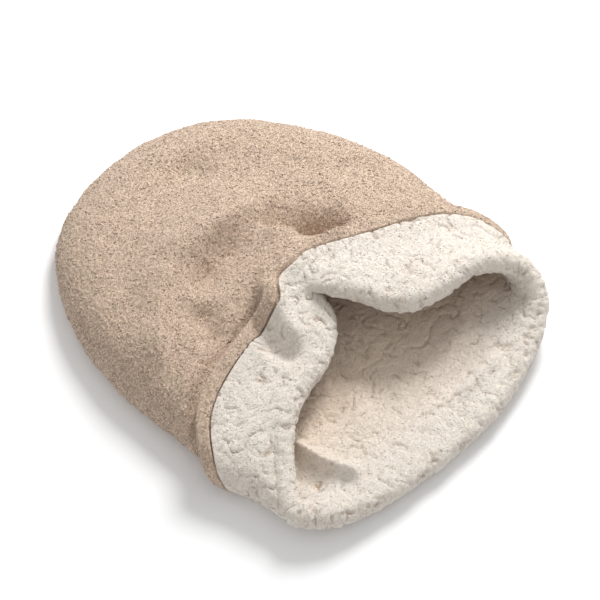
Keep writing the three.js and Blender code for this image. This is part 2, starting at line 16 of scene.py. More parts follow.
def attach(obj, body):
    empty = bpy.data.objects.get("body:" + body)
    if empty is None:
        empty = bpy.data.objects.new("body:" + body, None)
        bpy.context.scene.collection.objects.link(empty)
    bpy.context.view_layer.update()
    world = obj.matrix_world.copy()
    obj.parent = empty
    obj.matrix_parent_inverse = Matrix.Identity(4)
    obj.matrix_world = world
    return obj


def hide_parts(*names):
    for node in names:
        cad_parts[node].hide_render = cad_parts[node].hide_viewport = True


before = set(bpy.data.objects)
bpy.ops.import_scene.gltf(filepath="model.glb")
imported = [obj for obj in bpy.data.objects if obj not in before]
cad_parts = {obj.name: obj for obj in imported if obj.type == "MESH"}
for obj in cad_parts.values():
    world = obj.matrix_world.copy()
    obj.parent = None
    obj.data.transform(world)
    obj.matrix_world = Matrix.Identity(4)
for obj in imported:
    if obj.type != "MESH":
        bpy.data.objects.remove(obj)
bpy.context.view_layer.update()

LOG = logging.getLogger("burrow_blanket")
Array = np.ndarray

MM = 0.001
PLAN_MIDDLE = np.array([2.65, -0.1, 0.0])
SHELL_THICKNESS = 4.5
LINING_THICKNESS = 5.5
PIECE_GAP = 0.8
HEM_WIDTH = 16.0
HEM_ROUNDING = 3.0
SEAM_HEIGHT = 18.0
CUFF_HEIGHT = 10.0
FOLD_FADE = 60.0
CUFF_TURN = 30.0
CUFF_SLOPE = 36.0
SEAM_LOFT = 4.0
SEAM_LOFT_COLUMNS = 4
CROWN_HEIGHT = 60.0
CROWN_DROP = 20.0
CROWN_DROP_FROM = 60.0
CROWN_DROP_LENGTH = 220.0
TOP_SHOULDER = 60.0
BASE_SHOULDER = 22.0
RELIEF_EDGE = 45.0
LIP_CALM = 22.0
VALLEY_CALM = 60.0
REST_SOFTNESS = 3.0
SEAM_CLEARANCE = 12.5
TOP_CLEARANCE = 9.0
PANEL_COLUMNS = 19
LOOP_COLUMNS = 2 * PANEL_COLUMNS
BODY_ROWS = 9
WALL_ROWS = 8
FOLD_ROWS = 4
CUFF_ROWS = 6
CLUSTER = 0.5
LIP_PULL = 0.6
BEND_SHARE = 0.5
SMOOTHING_PASSES = 2
TIGHT_PASSES = 5
TIGHT_COLUMNS = 3
SEAM_SAMPLES = 120
CREASE_SAMPLES = 16
END_FROM = 5.0
END_TO = 11.5

# The side seam in plan, from the mouth's left end round the closed end to its right end
SIDE_SEAM = np.array([
    (-213, -118), (-219, -66), (-224, -3), (-224, 65), (-212, 130), (-186, 192), (-144, 243),
    (-84, 273), (-20, 283), (40, 276), (92, 254), (138, 213), (175, 159), (204, 98), (221, 28),
    (226, -34), (222, -110),
], float)


@dataclass(frozen=True)
class MouthRow:
    """One place round the mouth: the lip's crest, the way it points, and how the cuff turns."""

    name: str
    crest: tuple[float, float, float]
    lip: tuple[float, float, float]
    fold: float
    cuff: float
    wall: tuple[float, float]


MOUTH = (
    MouthRow("left seam", (-190, -213, 38), (0.1, -0.3, 0.9), 8.5, 94, (-213, -118)),
    MouthRow("corner", (-172, -182, 43), (0.35, -0.45, 0.8), 8.5, 98, (-210, -94)),
    MouthRow("left low", (-150, -157, 49), (0.5, -0.6, 0.6), 9, 104, (-202, -68)),
    MouthRow("left roll", (-125, -136, 55), (0.45, -0.7, 0.5), 9.5, 102, (-184, -40)),
    MouthRow("left high", (-100, -122, 56), (0.3, -0.8, 0.5), 9, 100, (-158, -16)),
    MouthRow("tongue foot", (-66, -114, 55), (0.4, -0.75, 0.4), 8.5, 100, (-130, 0)),
    MouthRow("tongue low", (-34, -108, 55), (0.7, -0.6, 0.1), 8, 98, (-104, 12)),
    MouthRow("tongue", (-10, -92, 58), (0.9, -0.4, 0), 8, 92, (-84, 22)),
    MouthRow("tongue tip", (17, -77, 58), (0.97, 0.2, 0), 7.5, 84, (-68, 28)),
    MouthRow("under the lip", (12, -47, 60), (0.65, 0.3, 0.03), 5.1, 73, (-51, 36)),
    MouthRow("inner corner", (-18, -21, 69.1), (0.58, -0.12, 0.17), 4.3, 46, (-43, 30)),
    MouthRow("lip turn", (-16, -28, 80), (-0.1, -0.57, -0.23), 6.3, 47, (-29, 41)),
    MouthRow("lip left", (-0.5, -39.3, 87.4), (-0.43, -0.68, -0.56), 6.5, 49, (-15, 35)),
    MouthRow("dip left", (16, -70, 86), (-0.75, -0.6, -0.2), 8.5, 80, (8, 36)),
    MouthRow("dip", (36, -108, 83), (-0.7, -0.7, -0.2), 8.5, 108, (36, 30)),
    MouthRow("dip right", (68, -142, 83), (-0.4, -0.88, -0.15), 8.5, 118, (74, 16)),
    MouthRow("crown left", (108, -148, 87), (0, -1, 0), 8.5, 112, (114, -2)),
    MouthRow("crown", (148, -152, 89), (0, -1, 0.1), 8.5, 104, (154, -20)),
    MouthRow("right crown", (180, -170, 82), (0.05, -0.98, 0.15), 8.5, 102, (188, -44)),
    MouthRow("right top", (199, -192, 68), (0.2, -0.95, 0.15), 8.5, 100, (210, -76)),
    MouthRow("right seam", (197, -215, 48), (0.2, -0.95, 0.1), 8.5, 98, (222, -110)),
    MouthRow("right low", (181, -231, 34), (0.2, -0.95, 0), 8.5, 92, (196, -102)),
    MouthRow("front right", (152, -246, 24), (0.15, -0.97, 0.05), 8, 88, (152, -98)),
    MouthRow("front 4", (103, -263, 18), (0.1, -0.99, 0.05), 7.5, 86, (100, -96)),
    MouthRow("front 3", (37, -274, 16), (0.04, -1, 0), 7, 86, (34, -94)),
    MouthRow("front 2", (-53, -272, 17), (-0.04, -1, 0.1), 7.5, 86, (-34, -94)),
    MouthRow("front 1", (-126, -262, 21), (-0.12, -0.95, 0.2), 7.5, 86, (-90, -94)),
    MouthRow("front left", (-171, -245, 29), (-0.3, -0.85, 0.35), 8, 90, (-150, -98)),
)
MOUTH_RIGHT_SEAM = 20


@dataclass(frozen=True)
class Crease:
    """A soft ridge or trough along a bent line in plan, with a width to the left and the right."""

    name: str
    start: tuple[float, float]
    bend: tuple[float, float]
    end: tuple[float, float]
    left: float
    right: float
    fade: float
    height: float

    def line(self) -> Array:
        """Points along the bent line."""
        t = np.linspace(0, 1, CREASE_SAMPLES + 1)[:, None]
        a, b, c = (np.array(p, float) for p in (self.start, self.bend, self.end))
        return (1 - t) ** 2 * a + 2 * (1 - t) * t * b + t * t * c

    def height_at(self, plan: Array) -> Array:
        """Height that the crease adds at places in plan.

        Args:
            plan: places in plan, as rows of x and y.

        Returns:
            One height for each place, in millimetres.
        """
        distance, share, side = nearest_on_line(plan, self.line())
        width = np.where(side > 0, self.left, self.right)
        ends = 1.0
        if self.fade > 0:
            ends = smooth_step(share / self.fade) * smooth_step((1 - share) / self.fade)
        return self.height * ends * np.exp(-((distance / width) ** 2))


BODY_CREASES = (
    Crease("mouth crown", (40, -30), (120, -50), (230, -110), 70, 70, 0, 18),
    Crease("centre ridge", (-150, 124), (-40, 124), (70, 112), 34, 30, 0.3, 9),
    Crease("dark spot", (-90, 60), (-55, 80), (0, 84), 20, 22, 0.3, -9),
    Crease("under ridge", (-90, -10), (-40, 34), (40, 16), 24, 26, 0.25, 10),
    Crease("side crease", (-70, 100), (-150, 90), (-205, -25), 18, 18, 0.2, 6),
    Crease("back hollow", (-20, 210), (20, 204), (70, 190), 26, 26, 0.3, -5),
    Crease("side hollow", (-170, 90), (-150, 70), (-140, 30), 22, 22, 0.3, -5),
    Crease("right hollow", (120, 40), (165, 10), (200, -40), 30, 26, 0.3, -8),
)
FLOOR_CREASES = (Crease("pocket ridge", (-128, -140), (-126, -180), (-112, -226), 13, 13, 0.2, 20),)
LIP_CREASES = (
    Crease("lobe ridge", (-20, -8), (-58, -36), (-48, -92), 20, 18, 0.12, 20),
    Crease("dent", (-70, -34), (-84, -62), (-70, -86), 18, 14, 0.25, -14),
)
VALLEY_CREASES = (Crease("lip valley", (104, -14), (66, 22), (34, 62), 17, 16, 0.25, -26),)

# Finer folds that only the cloth's own surface shows
UPPER_FOLDS = (
    Crease("centre ridge crest", (-124, 96), (-38, 108), (92, 94), 30, 14, 0.5, 17),
    Crease("centre ridge foot", (-104, 62), (-28, 66), (34, 66), 14, 26, 0.5, -10),
    Crease("dark spot deep", (-104, 52), (-80, 64), (-50, 72), 12, 18, 0.4, -9),
    Crease("lobe crest", (-34, 2), (-50, -34), (-58, -86), 13, 13, 0.2, 9),
    Crease("lobe dent", (-72, -14), (-88, -58), (-66, -98), 14, 12, 0.25, -13),
    Crease("valley deep", (24, 80), (42, 38), (96, -14), 26, 6, 0.16, -15),
    Crease("valley brow", (16, 64), (32, 26), (84, -22), 7, 12, 0.2, 8),
    Crease("side ridge", (-90, 104), (-140, 76), (-196, -2), 11, 26, 0.25, 11),
    Crease("side hollow deep", (-108, 46), (-116, 14), (-134, -26), 20, 13, 0.35, -12),
    Crease("back hollow deep", (-8, 208), (14, 198), (44, 168), 20, 20, 0.35, -7),
    Crease("back ridge", (-30, 232), (30, 236), (90, 206), 16, 16, 0.35, 4),
    Crease("right hollow deep", (130, 86), (160, 66), (190, 30), 20, 24, 0.35, -5),
)
FLOOR_FOLDS = (
    Crease("pocket ridge crest", (-132, -146), (-134, -186), (-106, -236), 9, 8, 0.15, 16),
    Crease("pocket hollow", (-160, -160), (-158, -196), (-140, -226), 12, 9, 0.3, -6),
    Crease("front crease", (40, -232), (70, -236), (128, -222), 7, 9, 0.3, 6),
    Crease("front crease foot", (30, -214), (66, -218), (126, -206), 8, 8, 0.3, -4),
    Crease("floor swell left", (-70, -200), (-40, -160), (-30, -120), 16, 16, 0.4, 5),
    Crease("floor swell right", (60, -190), (100, -170), (150, -180), 14, 14, 0.4, 5),
)


def smooth_step(value: Array) -> Array:
    """0 to 1 with level ends."""
    t = np.clip(value, 0, 1)
    return t * t * (3 - 2 * t)


def soft_max(a: Array, b: Array, softness: float) -> Array:
    """The larger of two heights, rounded where they are close.

    Args:
        a: one height.
        b: the other height.
        softness: how close they are rounded, in millimetres.

    Returns:
        The rounded height.
    """
    share = np.clip((a - b) / softness, -1, 1) + 1
    return np.where(a - b > softness, a, b + softness * share * share / 4)


def unit(vectors: Array) -> Array:
    """Vectors of length one."""
    return vectors / np.maximum(np.linalg.norm(vectors, axis=-1, keepdims=True), 1e-9)


def nearest_on_line(plan: Array, line: Array) -> tuple[Array, Array, Array]:
    """Nearest point of a line of plan points.

    Args:
        plan: places in plan, as rows of x and y.
        line: the line's points.

    Returns:
        The distance, the share along the line and the side, for each place.
    """
    best = np.full(len(plan), np.inf)
    share = np.zeros(len(plan))
    side = np.zeros(len(plan))
    for k in range(len(line) - 1):
        a, d = line[k], line[k + 1] - line[k]
        t = np.clip(((plan - a) @ d) / (d @ d), 0, 1)
        o = plan - a - t[:, None] * d
        distance = np.hypot(o[:, 0], o[:, 1])
        near = distance < best
        best = np.where(near, distance, best)
        share = np.where(near, (k + t) / (len(line) - 1), share)
        side = np.where(near, np.sign(d[0] * o[:, 1] - d[1] * o[:, 0]), side)
    return best, share, side


def relief(points: Array, creases: tuple[Crease, ...]) -> Array:
    """Sum of soft ridges and troughs at points of any shape (..., 3).

    Args:
        points: places of any shape (..., 3).
        creases: the ridges and troughs.

    Returns:
        One height for each place.
    """
    plan = points[..., :2].reshape(-1, 2)
    return sum(c.height_at(plan) for c in creases).reshape(points.shape[:-1])


def hermite(t: Array) -> tuple[Array, Array, Array, Array]:
    """Weights of two end points and their two tangents."""
    t2, t3 = t * t, t * t * t
    return 2 * t3 - 3 * t2 + 1, t3 - 2 * t2 + t, -2 * t3 + 3 * t2, t3 - t2


def curve_through(rows: Array, place: float, closed: bool) -> Array:
    """A smooth curve through rows of numbers, at a place counted in rows.

    Args:
        rows: the rows that the curve passes.
        place: where on the curve, counted in rows.
        closed: whether the curve comes back to its first row.

    Returns:
        The numbers at that place.
    """
    count = len(rows)
    start = math.floor(place) if closed else int(np.clip(math.floor(place), 0, count - 2))

    def row(index: int) -> Array:
        """A row, past either end too."""
        if closed:
            return rows[index % count]
        if index < 0:
            return 2 * rows[0] - rows[1]
        if index > count - 1:
            return 2 * rows[-1] - rows[-2]
        return rows[index]

    before, a, b, after = (row(start + k) for k in (-1, 0, 1, 2))
    wa, ta, wb, tb = hermite(place - start)
    return wa * a + ta * (b - before) / 2 + wb * b + tb * (after - a) / 2


def lengths_back(column: Array) -> Array:
    """Arc lengths of a column back from its last point."""
    steps = np.linalg.norm(np.diff(column, axis=0), axis=1)
    return np.append(np.cumsum(steps[::-1])[::-1], 0.0)


def vector_at(vectors: Array, back: Array, length: float) -> Array:
    """A vector between two rows of a column, at an arc length back from its last point.

    Args:
        vectors: one vector for each row.
        back: arc lengths back, one for each row.
        length: the length wanted.

    Returns:
        The vector there.
    """
    i = len(vectors) - 1
    while i > 1 and back[i - 1] < length:
        i -= 1
    span = back[i - 1] - back[i]
    t = float(np.clip((length - back[i]) / span if span > 0 else 0, 0, 1))
    return vectors[i] * (1 - t) + vectors[i - 1] * t


def grid_normals(grid: Array) -> Array:
    """Outward normals of a grid whose columns close round the sack; both panels meet at its first row.

    Args:
        grid: points by row and column.

    Returns:
        One vector of length one for each point.
    """
    nxt = np.roll(grid, -1, axis=1)
    face = unit(np.cross(grid[1:] - nxt[:-1], nxt[1:] - grid[:-1]))
    normals = np.zeros_like(grid)
    for rows in (slice(0, -1), slice(1, None)):
        normals[rows] += face + np.roll(face, 1, axis=1)
    mirrored = (LOOP_COLUMNS - np.arange(LOOP_COLUMNS)) % LOOP_COLUMNS
    normals[0] += normals[0].copy()[mirrored]
    return unit(normals)


def smooth_rows(grid: Array, first: int, last: int, passes: int, share: Array) -> None:
    """Soft averaging of the rows from first up to, not including, last, by a share for each column.

    Args:
        grid: points by row and column, changed in place.
        first: the first row.
        last: the row after the last.
        passes: how many times.
        share: how much for each column, 0 to 1.
    """
    for _ in range(passes):
        before = grid.copy()
        for i in range(first, last):
            at_end = i == len(grid) - 1
            above = before[i] if at_end else before[i - 1]
            below = before[i] if at_end else before[i + 1]
            mean = (np.roll(before[i], 1, axis=0) + np.roll(before[i], -1, axis=0) + above + below) / 4
            grid[i] = before[i] + (mean - before[i]) * (share / 2)[:, None]


@dataclass
class SackSurface:
    """The middle surface between shell and lining, as a grid of rows and of columns round the sack."""

    columns: int = PANEL_COLUMNS
    column_shares: Array = field(init=False)
    body_shares: Array = field(init=False)
    top: Array = field(init=False)
    stations: dict[str, Array] = field(init=False)
    middle: Array = field(init=False)
    reach_out: Array = field(init=False)
    reach_in: Array = field(init=False)

    def __post_init__(self) -> None:
        """Builds the grid and how far cloth may reach from it."""
        t = np.arange(self.columns + 1) / self.columns
        self.column_shares = (1 - CLUSTER) * t + CLUSTER * (1 - np.cos(np.pi * t)) / 2
        t = np.arange(BODY_ROWS + 1) / BODY_ROWS
        self.body_shares = (1 - CLUSTER) * t + CLUSTER * (1 - np.cos(np.pi * t / 2))
        self.top = np.arange(LOOP_COLUMNS) <= self.columns
        self.stations = self.mouth_stations()
        self.middle = self.build()
        self.reach_out, self.reach_in = self.bend_limits()

    def mouth_stations(self) -> dict[str, Array]:
        """The mouth's rows at each column, with the fold's directions and centres.

        Returns:
            Named arrays with one entry for each column.
        """
        rows = np.array([[*m.crest, *m.lip, m.fold, m.cuff, *m.wall] for m in MOUTH], float)
        shares = self.column_shares[:-1]
        places = [s * MOUTH_RIGHT_SEAM for s in shares]
        places += [MOUTH_RIGHT_SEAM + s * (len(MOUTH) - MOUTH_RIGHT_SEAM) for s in shares]
        values = np.array([curve_through(rows, p, True) for p in places])
        crest, lip, fold = values[:, :3], unit(values[:, 3:6]), values[:, 6]
        along = unit(np.roll(crest, -1, axis=0) - np.roll(crest, 1, axis=0))
        lip = unit(lip - along * np.sum(lip * along, axis=1, keepdims=True))
        outward = unit(np.cross(lip, along))
        centre = crest - lip * fold[:, None]
        return {
            "crest": crest, "lip": lip, "fold": fold, "cuff": values[:, 7], "wall": values[:, 8:10],
            "outward": outward, "centre": centre, "start": centre - outward * fold[:, None],
        }

    def body_height(self, plan: Array, seam_distance: float, top: bool) -> float:
        """Height of the middle surface in plan, on the upper or the lower panel.

        Args:
            plan: one place in plan.
            seam_distance: distance from the side seam.
            top: whether on the upper panel.

        Returns:
            The height, in millimetres.
        """
        shoulder = TOP_SHOULDER if top else BASE_SHOULDER
        inset = 1 - np.clip(seam_distance / shoulder, 0, 1)
        rise = math.sqrt(1 - inset * inset)
        calm = smooth_step(seam_distance / RELIEF_EDGE)
        if not top:
            flat = SEAM_HEIGHT + (SHELL_THICKNESS - SEAM_HEIGHT) * rise
            return float(flat + calm * relief(plan[None], FLOOR_CREASES)[0])
        drop = np.clip((plan[1] - CROWN_DROP_FROM) / CROWN_DROP_LENGTH, 0, 1)
        crown = CROWN_HEIGHT - CROWN_DROP * drop * drop
        folds = calm * relief(plan[None], BODY_CREASES)[0]
        return float(SEAM_HEIGHT + (crown - SEAM_HEIGHT) * rise + folds)

    def body_grid(self) -> Array:
        """Rows of the sack's body, from the closed end to where the wall behind the lip begins.

        Returns:
            The body's rows.
        """
        seam, wall = SIDE_SEAM, self.stations["wall"]
        last = len(seam) - 1
        places = [k / SEAM_SAMPLES * last for k in range(SEAM_SAMPLES + 1)]
        line = np.array([curve_through(seam, place, False) for place in places])
        end_left = curve_through(seam, END_FROM, False)
        end_right = curve_through(seam, END_TO, False)
        rows = []
        for i, v in enumerate(self.body_shares):
            left = curve_through(seam, END_FROM * (1 - v), False)
            right = curve_through(seam, END_TO + (last - END_TO) * v, False)
            row = []
            for j in range(LOOP_COLUMNS):
                column = j if self.top[j] else LOOP_COLUMNS - j
                u = self.column_shares[column]
                end = curve_through(seam, END_FROM + (END_TO - END_FROM) * u, False)
                sides = (1 - u) * left + u * right
                ends = (1 - v) * end + v * wall[j]
                corners = (1 - v) * ((1 - u) * end_left + u * end_right)
                corners = corners + v * ((1 - u) * wall[0] + u * wall[self.columns])
                plan = sides + ends - corners
                on_seam = i == 0 or column in (0, self.columns)
                distance = 0.0 if on_seam else float(nearest_on_line(plan[None], line)[0][0])
                row.append((*plan, self.body_height(plan, distance, bool(self.top[j]))))
            rows.append(row)
        return np.array(rows)

    def wall_grid(self, body: Array) -> Array:
        """Rows from the body's last row to the start of the lip's fold.

        Args:
            body: the body's rows.

        Returns:
            The wall's rows.
        """
        last, start, lip = body[-1], self.stations["start"], self.stations["lip"]
        reach = np.linalg.norm(start - last, axis=1, keepdims=True)
        heading = unit(last - body[-3])
        rows = []
        for i in range(WALL_ROWS):
            wa, ta, wb, tb = hermite((i + 1) / WALL_ROWS)
            rows.append(last * wa + heading * ta * reach + start * wb + lip * tb * reach * LIP_PULL)
        return np.array(rows)

    def rest_heights(self, grid: Array, j: int) -> Array:
        """Height of the sack's lower side over the ground or the turned-under cuff, down one column.

        Args:
            grid: points by row and column.
            j: the column.

        Returns:
            One height for each row.
        """
        reach = self.stations["cuff"][j] + CUFF_SLOPE
        over = smooth_step((reach - lengths_back(grid[:, j])) / CUFF_SLOPE)
        return SHELL_THICKNESS + (CUFF_HEIGHT + 1) * over

    def round_seam(self, grid: Array, seam: int) -> None:
        """Behind the lip the side seam stays clear of the base, and both panels round off towards it.

        Args:
            grid: points by row and column, changed in place.
            seam: the seam's column.
        """
        rest = self.rest_heights(grid, seam)
        grid[:, seam, 2] = soft_max(grid[:, seam, 2], rest + SEAM_CLEARANCE, REST_SOFTNESS)
        line = grid[:, seam, :2].copy()
        for j in range(LOOP_COLUMNS):
            after = (j - seam) % LOOP_COLUMNS
            away = min(after, LOOP_COLUMNS - after)
            if away == 0 or away > self.columns / 2:
                continue
            rest = self.rest_heights(grid, j)
            rows = slice(BODY_ROWS, len(grid))
            distance = nearest_on_line(grid[rows, j, :2], line)[0]
            inset = 1 - np.clip(distance / BASE_SHOULDER, 0, 1)
            rise = np.sqrt(1 - inset * inset)
            seam_height = grid[rows, seam, 2]
            lift = TOP_CLEARANCE if self.top[j] else rest[rows] - seam_height
            grid[rows, j, 2] = np.maximum(grid[rows, j, 2], seam_height + lift * rise)

    def seat_wall(self, grid: Array) -> None:
        """The base lies over the turned-under cuff, and the lip's own creases are added.

        Args:
            grid: points by row and column, changed in place.
        """
        self.round_seam(grid, 0)
        self.round_seam(grid, self.columns)
        for j in range(LOOP_COLUMNS):
            back = lengths_back(grid[:, j])
            grid[:, j, 2] = soft_max(grid[:, j, 2], self.rest_heights(grid, j), REST_SOFTNESS)
            if self.top[j]:
                grid[:, j, 2] += relief(grid[:, j], LIP_CREASES) * smooth_step(back / LIP_CALM)

    def fold_grid(self) -> Array:
        """Rows round the lip's fold."""
        s = self.stations
        angles = [math.pi * (i + 1) / FOLD_ROWS for i in range(FOLD_ROWS)]
        fold = s["fold"][:, None]
        return np.array([
            s["centre"] - s["outward"] * fold * math.cos(a) + s["lip"] * fold * math.sin(a)
            for a in angles
        ])

    def cuff_grid(self, wall: Array, fold_end: Array) -> Array:
        """Evenly spaced rows of the cuff, lying back over the wall.

        Args:
            wall: rows of the body and the wall.
            fold_end: the fold's last row.

        Returns:
            The cuff's rows.
        """
        s = self.stations
        normals = grid_normals(wall)
        rows = [fold_end]
        for i in range(1, CUFF_ROWS + 1):
            row = []
            for j in range(LOOP_COLUMNS):
                back = lengths_back(wall[:, j])
                length = s["cuff"][j] * i / CUFF_ROWS
                turned = float(smooth_step(length / CUFF_TURN))
                normal = vector_at(normals[:, j], back, length)
                outward = unit(s["outward"][j] * (1 - turned) + normal * turned)
                away = min(j, LOOP_COLUMNS - j, abs(j - self.columns))
                closeness = 1 - float(smooth_step(away / SEAM_LOFT_COLUMNS))
                loft = CUFF_HEIGHT + SEAM_LOFT * closeness * turned
                near_fold = 1 - float(smooth_step(length / FOLD_FADE))
                height = loft + (2 * s["fold"][j] - CUFF_HEIGHT) * near_fold
                row.append(vector_at(wall[:, j], back, length) + outward * height)
            rows.append(row)
        grid = np.array(rows)
        smooth_rows(grid, 1, CUFF_ROWS + 1, SMOOTHING_PASSES, np.ones(LOOP_COLUMNS))
        grid[..., 2] = np.maximum(grid[..., 2], LINING_THICKNESS)
        return grid

    def cuff_with_hem(self, cuff: Array) -> Array:
        """The cuff's rows at the places that its hem needs.

        Args:
            cuff: the cuff's evenly spaced rows.

        Returns:
            The rows as the panels use them.
        """
        lining_edge = HEM_WIDTH + 2 * PIECE_GAP
        from_edge = (lining_edge, HEM_WIDTH + PIECE_GAP, HEM_WIDTH, HEM_ROUNDING, 0)
        open_rows = CUFF_ROWS - 2
        columns = []
        for j in range(LOOP_COLUMNS):
            width = self.stations["cuff"][j]
            lengths = [(width - lining_edge) * (k + 1) / (open_rows + 1) for k in range(open_rows)]
            column = []
            for length in lengths + [width - e for e in from_edge]:
                place = float(np.clip(length / width * CUFF_ROWS, 0, CUFF_ROWS))
                k = min(int(place), CUFF_ROWS - 1)
                column.append(cuff[k, j] + (cuff[k + 1, j] - cuff[k, j]) * (place - k))
            columns.append(column)
        return np.array(columns).transpose(1, 0, 2)

    def build(self) -> Array:
        """The whole middle surface."""
        body = self.body_grid()
        wall = np.concatenate([body, self.wall_grid(body)])
        self.seat_wall(wall)
        smooth_rows(wall, BODY_ROWS - 2, len(wall) - 1, SMOOTHING_PASSES, np.ones(LOOP_COLUMNS))
        fold = self.fold_grid()
        cuff = self.cuff_with_hem(self.cuff_grid(wall, fold[-1]))
        for j in range(self.columns + 1):
            back = lengths_back(wall[:, j])
            wall[:, j, 2] += relief(wall[:, j], VALLEY_CREASES) * smooth_step(back / VALLEY_CALM)
        surface = np.concatenate([wall, fold, cuff])
        tightest = int(np.argmin(self.stations["fold"]))
        share = 1 - smooth_step((np.abs(np.arange(LOOP_COLUMNS) - tightest) - 1) / TIGHT_COLUMNS)
        smooth_rows(surface, len(wall) - 3, len(surface) - 5, TIGHT_PASSES, share)
        return surface

    def bend_limits(self) -> tuple[Array, Array]:
        """How far cloth can reach to each side before a tight bend folds it over itself.

        Returns:
            The reach outwards and inwards at each point.
        """
        normals = grid_normals(self.middle)
        rows, columns = self.middle.shape[:2]
        out, inner = np.full((rows, columns), 99.0), np.full((rows, columns), 99.0)
        around = [(a, b) for a in (-1, 0, 1) for b in (-1, 1)] + [(1, 0), (-1, 0)]
        for i in range(rows):
            for j in range(columns):
                for a, b in around:
                    i2, j2 = i + a, (j + b) % columns
                    if not 0 <= i2 < rows:
                        continue
                    step = self.middle[i2, j2] - self.middle[i, j]
                    turn = float((normals[i2, j2] - normals[i, j]) @ step / (step @ step))
                    limit = out if turn < 0 else inner
                    reach = BEND_SHARE / max(abs(turn), 1e-6)
                    limit[i, j] = min(limit[i, j], reach)
                    limit[i2, j2] = min(limit[i2, j2], reach)
        return out, inner


LAST_ROW = BODY_ROWS + WALL_ROWS + FOLD_ROWS + CUFF_ROWS + 3
WALL_END = BODY_ROWS + WALL_ROWS
FOLD_END = WALL_END + FOLD_ROWS
HEM_FROM = LAST_ROW - 2
LINING_END = LAST_ROW - 4
# The hem is thicker than the cuff beside it, so it stands off the cloth below
HEM_LIFT = 3.5
HEM_BULGE = 2.0
# The cloth under the hem sinks most within the reach, and less over the fade, and its colour is
# darkened there by painted shade
HEM_GROOVE = 4.5
GROOVE_REACH = 7.0
GROOVE_FADE = 6.0
GROOVE_PAINTED_SHADE = 0.55
# Round the lip the plush is crowded into knobs, over a spread counted in rows
KNOB_HEIGHT = 2.6
KNOB_SIZE = 11.0
KNOB_SPREAD = 2.4
KNOB_SEED = 77
# Along the side seams the pile sinks, over a share of a column
SEAM_DIP = {True: 1.1, False: 0.2}
SEAM_DIP_WIDTH = 0.1
FLOOR_DEPTH = -6.0
PLAIN_PILE = 0.6
REACH_LIMIT = 12.0
ROW_SLACK = 1e-6
LATTICE_SHIFT = 71.3
NOISE_GAIN = 1.6


def cubic_weights(t: Array) -> Array:
    """Weights of four neighbours at a place between the middle two."""
    t2, t3 = t * t, t * t * t
    return np.stack([-t3 + 2 * t2 - t, 3 * t3 - 5 * t2 + 2, -3 * t3 + 4 * t2 + t, t3 - t2]) / 2


def cubic_slopes(t: Array) -> Array:
    """Slopes of the four weights."""
    t2 = t * t
    return np.stack([-3 * t2 + 4 * t - 1, 9 * t2 - 10 * t, -9 * t2 + 8 * t + 1, 3 * t2 - 2 * t]) / 2


def sample_grid(grid: Array, rows: Array, columns: Array) -> tuple[Array, Array]:
    """A grid's smooth surface at places between its points.

    Args:
        grid: points by row and column; the columns close, and the first row is shared by both panels.
        rows: places counted in rows.
        columns: places counted in columns.

    Returns:
        Points and normals for each row and column.
    """
    mirrored = (LOOP_COLUMNS - np.arange(LOOP_COLUMNS)) % LOOP_COLUMNS
    ghost = [grid[2][mirrored], grid[1][mirrored]]
    tail = [2 * grid[-1] - grid[-2], 3 * grid[-1] - 2 * grid[-2]]
    full = np.concatenate([np.array(ghost), grid, np.array(tail)])
    r0 = np.clip(np.floor(rows).astype(int), -1, len(grid) - 1)
    c0 = np.floor(columns).astype(int)
    tr, tc = rows - r0, columns - c0

    def blend(row_weights: Array, column_weights: Array) -> Array:
        """Weighted sum of the sixteen neighbours."""
        part = sum(row_weights[a][:, None, None] * full[r0 + a + 1] for a in range(4))
        return sum(
            column_weights[b][None, :, None] * part[:, (c0 + b - 1) % LOOP_COLUMNS] for b in range(4)
        )

    points = blend(cubic_weights(tr), cubic_weights(tc))
    along_row = blend(cubic_slopes(tr), cubic_weights(tc))
    along_column = blend(cubic_weights(tr), cubic_slopes(tc))
    return points, unit(np.cross(along_row, along_column))


def lattice_noise(points: Array, size: float, seed: int) -> Array:
    """Smooth random field from about -1 to 1.

    Args:
        points: places, in millimetres (..., 3).
        size: distance between the field's lattice points, in millimetres.
        seed: picks the field.

    Returns:
        One value for each place.
    """
    table = np.random.default_rng(seed).normal(size=(512, 3))
    table = unit(table)
    p = points / size + LATTICE_SHIFT
    cell = np.floor(p).astype(np.int64)
    f = p - cell
    w = f * f * f * (f * (f * 6 - 15) + 10)
    total = np.zeros(points.shape[:-1])
    for dx in (0, 1):
        for dy in (0, 1):
            for dz in (0, 1):
                corner = cell + (dx, dy, dz)
                key = corner[..., 0] * 73856093 ^ corner[..., 1] * 19349663
                key = key ^ corner[..., 2] * 83492791
                key = (key ^ (key >> 13)) * 1274126177
                gradient = table[(key ^ (key >> 16)) & 511]
                weight = (
                    (w[..., 0] if dx else 1 - w[..., 0])
                    * (w[..., 1] if dy else 1 - w[..., 1])
                    * (w[..., 2] if dz else 1 - w[..., 2])
                )
                total += weight * np.sum(gradient * (f - (dx, dy, dz)), axis=-1)
    return total * NOISE_GAIN


def warped(points: Array, size: float, amount: float, seed: int) -> Array:
    """Places pushed about by a smooth field, so that what is drawn there curls.

    Args:
        points: places, in millimetres (..., 3).
        size: the field's size.
        amount: how far they are pushed.
        seed: picks the field.

    Returns:
        The pushed places.
    """
    push = np.stack([lattice_noise(points, size, seed + k) for k in range(3)], axis=-1)
    return points + amount * push


class Cloth(Enum):
    """The two cloths of the sack."""

    FLEECE = "curly_fleece"
    PLUSH = "embossed_plush"


